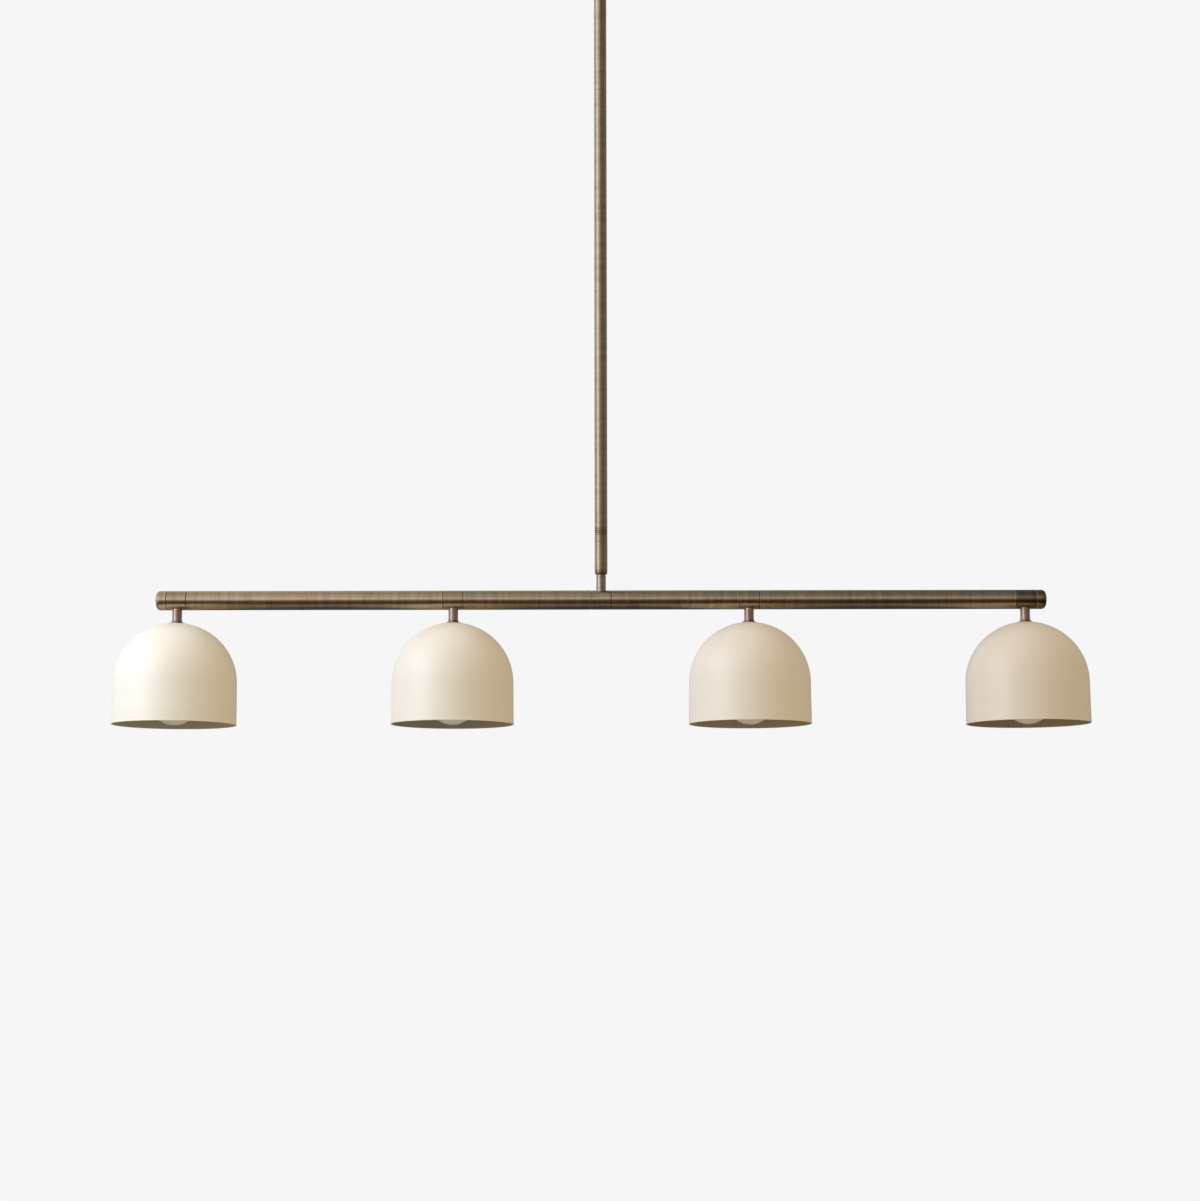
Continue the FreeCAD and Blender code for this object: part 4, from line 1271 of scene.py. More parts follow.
@dataclass(frozen=True)
class ScrewBase(Recipe):
    """The rolled metal shell of a bulb's base, with its thread, open at the foot."""

    title = "screw base"

    segments: int = 96
    shoulder: float = 0.009825
    shoulder_height: float = -0.00381
    root: float = 0.0127
    root_height: float = -0.00508
    crest: float = 0.0131
    pitch: float = 0.00363
    thread_top: float = -0.0062
    thread_foot: float = -0.0240
    foot: float = -0.027
    wall: float = 0.0004

    def shape(self, lathe: Lathe, given: SimpleNamespace) -> None:
        """Walks over the shoulder, down the thread, and back up inside.

        Args:
            lathe: takes the strips.
            given: the tree's named inputs, as numbers for sums.
        """
        root, wall, foot, pitch = given.root, given.wall, given.foot, given.pitch
        top, end = given.thread_top, given.thread_foot
        rows = (top - end) / pitch * THREAD_ROWS + 2.0

        def threaded(along: Quantity, around: Quantity, inset: Quantity | float) -> Spot:
            """A spot of the thread, which rises from the shell and sinks in it again.

            Args:
                along: the share along the strip.
                around: the share round it.
                inset: how far it lies inside the outer face.

            Returns:
                Its radius and its height.
            """
            height = along * (end - top) + top
            fade = lathe.fading(height, top, end, pitch)
            wave = lathe.thread(height, around, pitch)
            return root + wave * fade * (given.crest - root) - inset, height

        inner = root - wall
        high, low = given.shoulder_height, given.root_height
        bend, lip = 0.0006, 0.0003
        lathe.line((given.shoulder, high), (root - bend, low + lip))
        lathe.arc((root - bend, low - lip), (bend, bend), math.pi / 2, 0.0, 6)
        lathe.line((root, low - lip), (root, top))
        lathe.strip(rows, lambda along, around: threaded(along, around, 0.0))
        lathe.line((root, end), (root, foot + 0.0002), 3)
        lathe.path((root, foot + 0.0002), (root - 0.0001, foot), (inner, foot))
        lathe.line((inner, foot), (inner, end), 3)
        lathe.strip(rows, lambda along, around: threaded(along * -1.0 + 1.0, around, wall))
        lathe.path(
            (inner, top), (inner, low - wall), (given.shoulder, high - wall), (given.shoulder, high)
        )


@dataclass(frozen=True)
class BaseButton(Recipe):
    """The soldered contact button at the tip of a bulb's base."""

    title = "base button"

    segments: int = 48
    radius: float = 0.0045
    swell: float = 0.0009
    foot: float = -0.0020

    def shape(self, lathe: Lathe, given: SimpleNamespace) -> None:
        """Walks from the pole over the swell and in again underneath.

        Args:
            lathe: takes the strips.
            given: the tree's named inputs, as numbers for sums.
        """
        radius, swell, foot = given.radius, given.swell * -1.0, given.foot
        draw, drop = 0.0004, 0.0005
        inner = radius - draw
        lathe.arc((0.0, swell), (radius, given.swell), math.pi / 2, 0.0, 12)
        lathe.path((radius, swell), (inner, swell - drop), (inner, foot), (0.0, foot))


@dataclass(frozen=True)
class BaseInsulator(Recipe):
    """The glass ring between a bulb's button and its screw shell."""

    title = "base insulator"

    segments: int = 72
    bore: float = 0.0042
    lip: float = 0.0051
    lip_height: float = -0.0012
    rim: float = 0.0097
    rim_height: float = -0.0038
    foot: float = -0.0046

    def shape(self, lathe: Lathe, given: SimpleNamespace) -> None:
        """Walks round the ring's section, with a hollow cone outside.

        Args:
            lathe: takes the strips.
            given: the tree's named inputs, as numbers for sums.
        """
        bore, lip, rim = given.bore, given.lip, given.rim
        high, low, foot = given.lip_height, given.rim_height, given.foot

        def cone(along: Quantity, around: Quantity) -> Spot:
            """A spot of the cone, slightly hollow.

            Args:
                along: the share along the strip.
                around: the share round it.

            Returns:
                Its radius and its height.
            """
            hollow = 0.0012
            sag = along * (along * -1.0 + 1.0) * hollow
            return along * (rim - lip) + lip, along * (low - high) + high - sag

        lathe.line((bore, high), (lip, high))
        lathe.strip(10, cone)
        lathe.path((rim, low), (rim, foot), (bore, foot), (bore, high))


@dataclass(frozen=True)
class SocketThread(Recipe):
    """The thin screw shell in a socket, rolled with the same thread as the bulb's base."""

    title = "socket thread"

    segments: int = 96
    outer: float = 0.0140
    swing: float = 0.0004
    wall: float = 0.00035
    pitch: float = 0.00363
    top: float = -0.0001
    foot: float = -0.0279

    def shape(self, lathe: Lathe, given: SimpleNamespace) -> None:
        """Walks down the outside and up the inside of the rolled shell.

        Args:
            lathe: takes the strips.
            given: the tree's named inputs, as numbers for sums.
        """
        top, foot, wall, outer = given.top, given.foot, given.wall, given.outer
        rows = (top - foot) / given.pitch * THREAD_ROWS + 2.0

        def rolled(along: Quantity, around: Quantity, inset: Quantity | float) -> Spot:
            """A spot of the shell; the thread dies out at its two ends.

            Args:
                along: the share along the strip.
                around: the share round it.
                inset: how far it lies inside the outer face.

            Returns:
                Its radius and its height.
            """
            height = along * (foot - top) + top
            fade = lathe.fading(height, top, foot, given.pitch)
            wave = lathe.thread(height, around, given.pitch) * -1.0 + 1.0
            return outer - wave * fade * given.swing - inset, height

        lathe.line((outer - wall, top), (outer, top))
        lathe.strip(rows, lambda along, around: rolled(along, around, 0.0))
        lathe.line((outer, foot), (outer - wall, foot))
        lathe.strip(rows, lambda along, around: rolled(along * -1.0 + 1.0, around, wall))


@dataclass(frozen=True)
class ThreadedRod(Recipe):
    """A rod or pipe with a thread all along it and a chamfer at each end."""

    title = "threaded rod"

    segments: int = 48
    radius: float = 0.005
    bore: float = 0.00375
    length: float = 0.034
    pitch: float = 0.00094
    cut: float = 0.0005

    def shape(self, lathe: Lathe, given: SimpleNamespace) -> None:
        """Walks down the thread from the top and, in a pipe, back up the bore.

        Args:
            lathe: takes the strips.
            given: the tree's named inputs, as numbers for sums.
        """
        radius, bore, cut = given.radius, given.bore, given.cut
        foot = given.length * -1.0
        high, low = cut * -1.0, foot + cut
        rows = given.length / given.pitch * 7.0 + 2.0
        face = radius - cut * 1.4

        def threaded(along: Quantity, around: Quantity) -> Spot:
            """A spot of the thread, cut down to its root at both ends.

            Args:
                along: the share along the strip.
                around: the share round it.

            Returns:
                Its radius and its height.
            """
            height = along * (low - high) + high
            fade = lathe.fading(height, high, low, given.pitch)
            wave = lathe.thread(height, around, given.pitch)
            return radius - cut + wave * fade * cut, height

        lathe.path((bore, 0.0), (face, 0.0), (radius - cut, high))
        lathe.strip(rows, threaded)
        lathe.path((radius - cut, low), (face, foot), (bore, foot))
        if self.bore > 0.0:
            lathe.line((bore, foot), (bore, 0.0), 3)


@dataclass(frozen=True)
class HexNut(Recipe):
    """A thin hexagon nut with its corners turned off on both faces and a threaded bore."""

    title = "hexagon nut"

    segments: int = 72
    half_across: float = 0.007
    face: float = 0.0066
    bore: float = 0.00505
    height: float = 0.003
    pitch: float = 0.00094

    def shape(self, lathe: Lathe, given: SimpleNamespace) -> None:
        """Walks over the top face and the flats, and back through the bore.

        Args:
            lathe: takes the strips.
            given: the tree's named inputs, as numbers for sums.
        """
        face, bore, foot = given.face, given.bore, given.height * -1.0
        slope = math.tan(math.radians(30.0))
        lead, depth = 0.0004, 0.00025

        def side(share: Callable[[Quantity], Spot]) -> Rule:
            """A rule for one band of the side, from its shares of hexagon and height.

            Args:
                share: gives both shares, from 0 to 1, from the share along the band.

            Returns:
                The rule.
            """

            def rule(along: Quantity, around: Quantity) -> Spot:
                """The spot on the band.

                Args:
                    along: the share along the strip.
                    around: the share round it.

                Returns:
                    Its radius and its height.
                """
                corner = lathe.hexed(given.half_across, around) - face
                out, down = share(along)
                drop = corner * slope
                return corner * out + face, (foot + drop * 2.0) * down - drop * out

            return rule

        def lower(along: Quantity, around: Quantity) -> Spot:
            """The spot on the lower chamfer, from the flats in to the face.

            Args:
                along: the share along the strip.
                around: the share round it.

            Returns:
                Its radius and its height.
            """
            corner = lathe.hexed(given.half_across, around) - face
            back = along * -1.0 + 1.0
            return corner * back + face, foot + corner * slope * back

        def threaded(along: Quantity, around: Quantity) -> Spot:
            """A spot of the bore's thread.

            Args:
                along: the share along the strip.
                around: the share round it.

            Returns:
                Its radius and its height.
            """
            height = along * (given.height - 2.0 * lead) + foot + lead
            fade = (along * 4.0).clamped() * (along * -4.0 + 4.0).clamped()
            return bore + lathe.thread(height, around, given.pitch) * fade * depth, height

        lathe.line((bore + lead, 0.0), (face, 0.0))
        lathe.strip(4, side(lambda along: (along, 0.0)))
        lathe.strip(4, side(lambda along: (along * 0.0 + 1.0, along)))
        lathe.strip(4, lower)
        lathe.path((face, foot), (bore + lead, foot), (bore, foot + lead))
        lathe.strip(20, threaded)
        lathe.line((bore, -lead), (bore + lead, 0.0))


@dataclass(frozen=True)
class CapNut(Recipe):
    """A closed thumb nut with a straight knurl and a domed foot."""

    title = "cap nut"

    segments: int = 216
    radius: float = 0.005
    hole: float = 0.00205
    hole_depth: float = 0.005
    height: float = 0.006
    dome: float = 0.0018
    teeth: int = 36
    tooth: float = 0.00028

    def shape(self, lathe: Lathe, given: SimpleNamespace) -> None:
        """Walks over the top, down the knurl and round the dome; the hole is blind.

        Args:
            lathe: takes the strips.
            given: the tree's named inputs, as numbers for sums.
        """
        radius, foot, hole = given.radius, given.height * -1.0, given.hole
        bottom = given.hole_depth * -1.0
        chamfer = 0.0005
        inner = radius - chamfer

        def knurled(along: Quantity, around: Quantity) -> Spot:
            """A spot of the knurl, whose teeth run out at both ends.

            Args:
                along: the share along the strip.
                around: the share round it.

            Returns:
                Its radius and its height.
            """
            fade = (along * 6.0).clamped() * (along * -6.0 + 6.0).clamped()
            wave = (around * given.teeth * (2.0 * math.pi)).sum("COSINE") * 0.5 + 0.5
            height = along * (foot + 2.0 * chamfer) - chamfer
            return radius - wave * fade * given.tooth, height

        lathe.path((hole, 0.0), (inner, 0.0), (radius, -chamfer))
        lathe.strip(9, knurled)
        lathe.line((radius, foot + chamfer), (inner, foot))
        lathe.arc((0.0, foot), (inner, given.dome), 0.0, -math.pi / 2, 14)
        lathe.line((hole, bottom), (hole, 0.0))
        lathe.line((0.0, bottom), (hole, bottom))


@dataclass(frozen=True)
class GrubScrew(Recipe):
    """A headless set screw with a hexagon socket and a turned flat point."""

    title = "grub screw"

    segments: int = 48
    radius: float = 0.0015
    length: float = 0.0034
    key: float = 0.00075
    key_depth: float = 0.0017
    pitch: float = 0.0005
    cut: float = 0.00014

    def shape(self, lathe: Lathe, given: SimpleNamespace) -> None:
        """Walks out of the key's bottom, over the face, down the thread and round the point.

        Args:
            lathe: takes the strips.
            given: the tree's named inputs, as numbers for sums.
        """
        radius, foot, cut = given.radius, given.length * -1.0, given.cut
        bottom = given.key_depth * -1.0
        mouth, lead = given.key * 1.32, 0.00012
        high, low = -0.0002, foot + 0.0005
        face, point = radius - cut * 1.6, radius * 0.62

        def keyed(start: Spot, end: Spot) -> Rule:
            """A rule for a band whose radii are shares of the key's hexagon.

            Args:
                start: the share and the height where it starts.
                end: those where it ends.

            Returns:
                The rule.
            """

            def rule(along: Quantity, around: Quantity) -> Spot:
                """The spot on the band.

                Args:
                    along: the share along the strip.
                    around: the share round it.

                Returns:
                    Its radius and its height.
                """
                share = along * (end[0] - start[0]) + start[0]
                height = along * (end[1] - start[1]) + start[1]
                return lathe.hexed(given.key, around) * share, height

            return rule

        def mouthed(along: Quantity, around: Quantity) -> Spot:
            """A spot of the cone that leads into the key."""
            hexagon = lathe.hexed(given.key, around)
            return (mouth - hexagon) * along + hexagon, along * lead - lead

        def threaded(along: Quantity, around: Quantity) -> Spot:
            """A spot of the thread.

            Args:
                along: the share along the strip.
                around: the share round it.

            Returns:
                Its radius and its height.
            """
            height = along * (low - high) + high
            fade = lathe.fading(height, high, low, given.pitch)
            wave = lathe.thread(height, around, given.pitch)
            return radius - cut + wave * fade * cut, height

        lathe.strip(2, keyed((0.0, bottom), (1.0, bottom)))
        lathe.strip(3, keyed((1.0, bottom), (1.0, -lead)))
        lathe.strip(2, mouthed)
        lathe.path((mouth, 0.0), (face, 0.0), (radius - cut, high))
        lathe.strip(34, threaded)
        lathe.path((radius - cut, low), (point, foot), (0.0, foot))


# ---- studio ---------------------------------------------------------------------------------


@dataclass(frozen=True)
class Board:
    """A board that only mirrors show, as a photographer sets one beside polished metal.

    It is part of a ring round the pendant: start and end are turns to the left of the camera in
    degrees, and the ring runs from one (radius, height) to another.
    """

    name: str
    start: float
    end: float
    first: tuple[float, float]
    last: tuple[float, float]
    glow: Colour

    def build(self) -> bpy.types.Object:
        """Makes the board, with its own even glow and no part in the light.

        Returns:
            The board.
        """
        step_degrees = 5
        steps = max(2, int(abs(self.end - self.start) // step_degrees))
        corners = []
        for step in range(steps + 1):
            turn = math.radians(self.start + (self.end - self.start) * step / steps)
            for radius, height in (self.first, self.last):
                corners.append((-math.sin(turn) * radius, -math.cos(turn) * radius, height))
        faces = [(2 * k, 2 * k + 2, 2 * k + 3, 2 * k + 1) for k in range(steps)]
        mesh = bpy.data.meshes.new(self.name)
        mesh.from_pydata(corners, [], faces)
        board = put_in_scene(self.name, mesh)
        material = bpy.data.materials.new(self.name)
        tree = Tree.of(material)
        surface = tree.add("ShaderNodeEmission", {"Color": (*self.glow, 1.0)}).outputs[0]
        tree.add("ShaderNodeOutputMaterial", {"Surface": surface})
        mesh.materials.append(material)
        board.visible_camera = board.visible_diffuse = board.visible_shadow = False
        board.visible_transmission = False
        return board


@dataclass(frozen=True)
class Softbox:
    """A rectangular soft lamp that isn't seen itself."""

    name: str
    at: Point
    towards: Point
    sides: tuple[float, float]
    watts: float
    colour: Colour = (1.0, 1.0, 1.0)

    def build(self) -> bpy.types.Object:
        """Makes the lamp and points it. The boards stand in for it in mirrors.

        Returns:
            The lamp.
        """
        data = bpy.data.lights.new(self.name, "AREA")
        data.shape = "RECTANGLE"
        data.size, data.size_y = self.sides
        data.energy = self.watts
        data.color = self.colour
        lamp = put_in_scene(self.name, data)
        lamp.location = self.at
        aim = Vector(self.towards) - Vector(self.at)
        lamp.rotation_euler = aim.to_track_quat("-Z", "Y").to_euler()
        lamp.visible_camera = lamp.visible_glossy = lamp.visible_transmission = False
        return lamp


@dataclass
class Studio:
    """Floor, world, lamps and the boards that give the metal its bands."""

    floor_height: float = -2.4
    floor_radius: float = 60.0
    ring: float = 3.4
    fill: float = 0.77
    fill_colour: Colour = (1.0, 0.89, 0.62)
    floor_bounce: Colour = (0.86, 0.86, 0.85)
    floor_colour: Colour = (0.76, 0.79, 0.93)

    def build(self) -> None:
        """Builds the world, the floor, the lamps and the boards."""
        self.make_world()
        self.make_floor()
        for lamp in self.lamps():
            lamp.build()
        for board in self.boards():
            board.build()

    def lamps(self) -> list[Softbox]:
        """Gives the lamps: daylight from the near left and a soft one from above.

        Returns:
            The lamps.
        """
        towards, sides = (0.0, 0.0, -0.95), (1.4, 1.4)
        window, overhead = (-1.302, -0.752, -0.403), (0.0, -0.209, 1.441)
        return [
            Softbox("window", window, towards, sides, 28.8, (0.54, 0.715, 0.97)),
            Softbox("overhead", overhead, towards, sides, 8.5, (1.0, 0.89, 0.97)),
        ]

    def boards(self) -> list[Board]:
        """Gives the room that the metal mirrors: window, walls, skirting, floor and ceiling.

        Returns:
            The boards.
        """
        far, low, skirt, high = self.ring, self.floor_height + 0.01, -1.12, 2.2

        def wall(
            name: str, start: float, end: float, bottom: float, top: float, glow: Colour
        ) -> Board:
            """One upright board of the ring."""
            return Board(name, start, end, (far, bottom), (far, top), glow)

        def ring(
            name: str,
            start: float,
            end: float,
            height: float,
            inner: float,
            outer: float,
            glow: Colour,
        ) -> Board:
            """One level board of the floor or the ceiling."""
            return Board(name, start, end, (outer, height), (inner, height), glow)

        return [
            wall("window board", 40.0, 72.0, skirt, 1.3, (2.63, 2.89, 3.5)),
            wall("window foot", 40.0, 72.0, low, skirt, (0.5, 0.6, 0.5)),
            wall("window head", 40.0, 72.0, 1.3, high, (0.74, 0.93, 1.25)),
            wall("curtain top", 72.0, 96.0, 0.5, high, (1.95, 2.4, 3.1)),
            wall("curtain foot", 72.0, 96.0, skirt, 0.5, (0.38, 0.34, 0.31)),
            wall("left wall", 96.0, 165.0, skirt, high, (0.72, 0.86, 1.05)),
            wall("front left wall", 14.0, 40.0, skirt, high, (1.03, 1.04, 0.98)),
            wall("front wall", -14.0, 14.0, -0.35, 0.5, (1.4, 1.46, 1.48)),
            wall("front wall foot", -14.0, 14.0, skirt, -0.35, (0.08, 0.05, 0.02)),
            wall("front wall top", -14.0, 14.0, 0.5, high, (0.06, 0.05, 0.03)),
            wall("front right wall", -42.0, -14.0, skirt, high, (0.38, 0.34, 0.25)),
            wall("right wall", -75.0, -42.0, skirt, high, (0.32, 0.33, 0.32)),
            wall("far right wall", -172.0, -75.0, skirt, high, (0.33, 0.39, 0.44)),
            wall("skirting", -110.0, 40.0, low, skirt, (0.06, 0.03, 0.01)),
            wall("left skirting", 72.0, 122.0, low, skirt, (0.9, 0.95, 0.9)),
            wall("back skirting", 122.0, 250.0, low, skirt, (0.11, 0.12, 0.13)),
            ring("floor rug", -180.0, 180.0, low, 0.01, 0.35, (0.11, 0.09, 0.03)),
            ring("floor near", -90.0, 90.0, low, 0.35, 1.2, (0.30, 0.30, 0.29)),
            ring("floor far", -90.0, 90.0, low, 1.2, far, (0.05, 0.03, 0.01)),
            ring("floor back", 90.0, 270.0, low, 0.35, far, (0.11, 0.12, 0.13)),
            wall("back wall", 165.0, 188.0, skirt, high, (0.26, 0.27, 0.26)),
            ring("ceiling middle", -180.0, 180.0, high, 0.01, 1.2, (0.38, 0.41, 0.42)),
            ring("ceiling left", 0.0, 180.0, high, 1.2, far, (1.05, 1.0, 0.91)),
            ring("ceiling right", -180.0, 0.0, high, 1.2, far, (0.03, 0.025, 0.02)),
        ]

    def make_world(self) -> None:
        """A pale surround: paper white where it is seen or mirrored, a warm fill elsewhere."""
        world = bpy.data.worlds.new("studio")
        bpy.context.scene.world = world
        tree = Tree.of(world)
        white = (PAPER_WHITE,) * 3
        fill = tuple(self.fill * part for part in self.fill_colour)
        colour = tree.blend(self.seen(tree), fill, white)
        surface = tree.add("ShaderNodeBackground", {"Color": colour, "Strength": 1.0}).outputs[0]
        tree.add("ShaderNodeOutputWorld", {"Surface": surface})

    def make_floor(self) -> None:
        """A pale round floor that keeps the shadow near the pendant; it is clear from below."""
        sides, radius = 96, self.floor_radius
        turns = [2 * math.pi * step / sides for step in range(sides)]
        corners = [(math.cos(t) * radius, math.sin(t) * radius, self.floor_height) for t in turns]
        mesh = bpy.data.meshes.new("floor")
        mesh.from_pydata(corners, [], [list(range(len(corners)))])
        floor = put_in_scene("floor", mesh)
        material = bpy.data.materials.new("pale floor")
        tree = Tree.of(material)
        own = tree.add("ShaderNodeTexCoord").outputs["Object"]
        flat = {0: own, 1: (1.0, 1.0, 0.0)}
        level = tree.add("ShaderNodeVectorMath", flat, operation="MULTIPLY").outputs[0]
        distance = tree.spread(tree.length(level), 1.6, 4.0, 0.0, 1.0)
        far = tree.math("MULTIPLY", distance, self.seen(tree))
        pale = tree.blend(self.seen(tree), self.floor_bounce, self.floor_colour)
        matt = tree.add("ShaderNodeBsdfDiffuse", {"Color": pale}).outputs[0]
        white = tree.add("ShaderNodeEmission", {"Color": (PAPER_WHITE,) * 3 + (1.0,)}).outputs[0]
        mixed = tree.add("ShaderNodeMixShader", {0: far, 1: matt, 2: white}).outputs[0]
        below = tree.add("ShaderNodeNewGeometry").outputs["Backfacing"]
        clear = tree.add("ShaderNodeBsdfTransparent").outputs[0]
        sided = tree.add("ShaderNodeMixShader", {0: below, 1: mixed, 2: clear}).outputs[0]
        tree.add("ShaderNodeOutputMaterial", {"Surface": sided})
        mesh.materials.append(material)

    @staticmethod
    def seen(tree: Tree) -> Socket:
        """Gives 1 for what the camera sees, straight, mirrored or through glass.

        Args:
            tree: the tree of the world or the floor.

        Returns:
            The socket with the 1 or 0.
        """
        path = tree.add("ShaderNodeLightPath").outputs
        mirrored = tree.math("MAXIMUM", path["Is Camera Ray"], path["Is Glossy Ray"])
        return tree.math("MAXIMUM", mirrored, path["Is Transmission Ray"])


@dataclass
class Viewpoint:
    """The camera, as the photograph was taken: a little below the bar and looking up at it."""

    at: Point = (-0.0019, -2.391, -1.2209)
    pitch: float = math.radians(7.892)
    roll: float = math.radians(0.09)
    lens: float = 57.93

    def build(self) -> bpy.types.Object:
        """Makes the camera and gives it to the scene.

        Returns:
            The camera.
        """
        data = bpy.data.cameras.new("camera")
        data.lens = self.lens
        data.sensor_width = 36.0
        data.clip_start, data.clip_end = 0.05, 200.0
        camera = put_in_scene("camera", data)
        camera.location = self.at
        camera.rotation_euler = (math.pi / 2 + self.pitch, self.roll, 0.0)
        bpy.context.scene.camera = camera
        return camera


# ---- the pendant ----------------------------------------------------------------------------


@dataclass
class Assembly:
    """A sub-assembly: dresses the CAD nodes that stay on show and builds its finer pieces."""

    nodes: dict[str, bpy.types.Object]

    def finishes(self) -> dict[str, Finish]:
        """Gives the finish of each CAD node of the sub-assembly that stays on show."""
        return {}

    def make_pieces(self) -> None:
        """Builds the sub-assembly's finer pieces, where it has them."""

    def build(self) -> None:
        """Dresses the nodes, builds the pieces and reports each."""
        for name, finish in self.finishes().items():
            finish.dress(self.nodes[name])
            log.info("node %s: %s", name, finish.name)
        self.make_pieces()

    @staticmethod
    def brass(
        node: str,
        axis: Axis,
        seed: float,
        level: float = 1.0,
        pink: float = 0.0,
        centre: Point = (0.0, 0.0, 0.0),
        joints: Joints = Joints.BOTH,
    ) -> AgedBrass:
        """Gives a node its own brass.

        Args:
            node: the CAD node.
            axis: the line that it was turned on.
            seed: where its marks start.
            level: how light it is.
            pink: how pink it is.
            centre: a point on its axis.
            joints: which of its ends have a joint line.

        Returns:
            The finish, with its joint lines at the node's own ends.
        """
        low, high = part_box(node)
        along = 0 if axis is Axis.X else 2
        far = 100.0
        ends = (
            low[along] - centre[along] if joints.value[0] else -far,
            high[along] - centre[along] if joints.value[1] else far,
        )
        plain = AgedBrass("brass", axis=axis, centre=centre, ends=ends)
        return plain.toned(f"brass {node}".replace("_", " "), seed, level, pink)

    @staticmethod
    def fit(piece: bpy.types.Object, body: str, slot: str, *stands_for: str) -> None:
        """Hangs a finished piece on its body, for the CAD nodes it stands for, and reports it.

        Args:
            piece: the piece.
            body: the body that it moves with.
            slot: the slot that its finish belongs to; not used.
            stands_for: the CAD nodes that it hides and stands for.
        """
        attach(piece, body)
        if stands_for:
            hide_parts(*stands_for)
        faces = len(piece.data.polygons)
        log.info("piece %s: %d faces, on %s, for %s", piece.name, faces, body, stands_for)


STEEL = PlainMetal("plated steel")
PLAIN_BRASS = PlainMetal("plain brass", colour=(0.62, 0.49, 0.25), tarnish=(0.42, 0.31, 0.15))
BLACK_STEEL = PlainMetal(
    "blackened steel", colour=(0.09, 0.085, 0.08), tarnish=(0.16, 0.12, 0.09), roughness=0.42
)
BULB_METAL = PlainMetal(
    "bulb metal", colour=(0.72, 0.71, 0.69), tarnish=(0.6, 0.59, 0.57), roughness=0.28
)


@dataclass
class CeilingFixing(Assembly):
    """Strap, threaded pipe, canopy and its nuts, and the cup that the swivel turns in."""

    pipe_length: float = 0.034
    locknut_top: float = -0.0025
    stud_place: float = 0.030
    stud_radius: float = 0.002
    stud_length: float = 0.0307
    stud_pitch: float = 0.0007
    stud_thread_depth: float = 0.0003
    nut_top: float = -0.026

    def finishes(self) -> dict[str, Finish]:
        """Brass for what shows, plated steel for what holds it.

        Returns:
            The finish for each node's name.
        """
        return {
            "canopy": self.brass("canopy", Axis.Z, 3.0, joints=Joints.NONE),
            "swivel_cup": self.brass("swivel_cup", Axis.Z, 11.0, joints=Joints.HIGH),
            "crossbar": STEEL,
            "cup_bush": STEEL,
            "ground_screw": GreenScrew("ground green"),
        }

    def make_pieces(self) -> None:
        """The threaded pipe, its locknut, the two studs and their cap nuts."""
        pipe = ThreadedRod(length=self.pipe_length).cast("canopy_pipe", [(0.0, 0.0, 0.0)], STEEL)
        self.fit(pipe, "ceiling", "plated_steel", "center_nipple")
        nut = HexNut().cast("pipe_nut", [(0.0, 0.0, self.locknut_top)], STEEL)
        self.fit(nut, "ceiling", "plated_steel", "nipple_locknut")
        places = [(-self.stud_place, 0.0, 0.0), (self.stud_place, 0.0, 0.0)]
        rod = ThreadedRod(
            radius=self.stud_radius,
            bore=0.0,
            length=self.stud_length,
            pitch=self.stud_pitch,
            cut=self.stud_thread_depth,
        )
        studs = rod.cast("canopy_screws", places, STEEL)
        self.fit(studs, "ceiling", "plated_steel", "canopy_studs")
        places = [(x, y, self.nut_top) for x, y, _ in places]
        brass = self.brass("canopy_cap_nuts", Axis.Z, 15.0, joints=Joints.NONE)
        caps = CapNut().cast("thumb_nuts", places, brass)
        self.fit(caps, "ceiling", "aged_brass", "canopy_cap_nuts")


@dataclass
class Swivel(Assembly):
    """Fork and pin, which let the stem hang straight."""

    pin_height: float = -0.0593

    def finishes(self) -> dict[str, Finish]:
        """Brass, with a plated nut that holds the fork's shank.

        Returns:
            The finish for each node's name.
        """
        return {
            "swivel_fork": self.brass("swivel_fork", Axis.Z, 12.0, joints=Joints.NONE),
            "swivel_pin": self.brass(
                "swivel_pin", Axis.Y, 14.0, centre=(0.0, 0.0, self.pin_height), joints=Joints.NONE
            ),
            "shank_nut": STEEL,
        }


@dataclass
class Stem(Assembly):
    """Tongue, two tubes, ferrule and neck, with the pipes inside that join them."""

    coupling_tops: tuple[float, float] = (-0.2113, -0.7903)
    coupling_length: float = 0.024
    foot_pipe_top: float = -0.8445
    foot_pipe_length: float = 0.0384
    ferrule_top: float = -0.8023
    ring_strength: float = 0.8

    def finishes(self) -> dict[str, Finish]:
        """Brass for what shows; plain brass and a dark sheath inside.

        Returns:
            The finish for each node's name.
        """
        lower = self.brass("stem_lower", Axis.Z, 34.0, joints=Joints.LOW)
        return {
            "swivel_tongue": self.brass("swivel_tongue", Axis.Z, 13.0, joints=Joints.LOW),
            "stem_upper": self.brass("stem_upper", Axis.Z, 21.0, joints=Joints.HIGH),
            "stem_lower": replace(lower, rings=self.ring_strength),
            "stem_neck": self.brass("stem_neck", Axis.Z, 5.0, 1.08, 1.0),
            "stem_inserts": PLAIN_BRASS,
            "stem_leads": Sheath("lead sheath"),
        }

    def make_pieces(self) -> None:
        """The ferrule, the threaded couplings and the longer pipe through the stem's foot."""
        brass = replace(self.brass("stem_ferrule", Axis.Z, 47.0), rings=self.ring_strength)
        ferrule = RingedFerrule().cast("ringed_ferrule", [(0.0, 0.0, self.ferrule_top)], brass)
        self.fit(ferrule, "light", "aged_brass", "stem_ferrule")
        coupling = ThreadedRod(length=self.coupling_length)
        places = [(0.0, 0.0, top) for top in self.coupling_tops]
        piece = coupling.cast("stem_couplings", places, STEEL)
        self.fit(piece, "light", "plated_steel", "stem_nipples")
        pipe = ThreadedRod(length=self.foot_pipe_length)
        piece = pipe.cast("stem_foot_pipe", [(0.0, 0.0, self.foot_pipe_top)], STEEL)
        self.fit(piece, "light", "plated_steel", "stem_nipples")


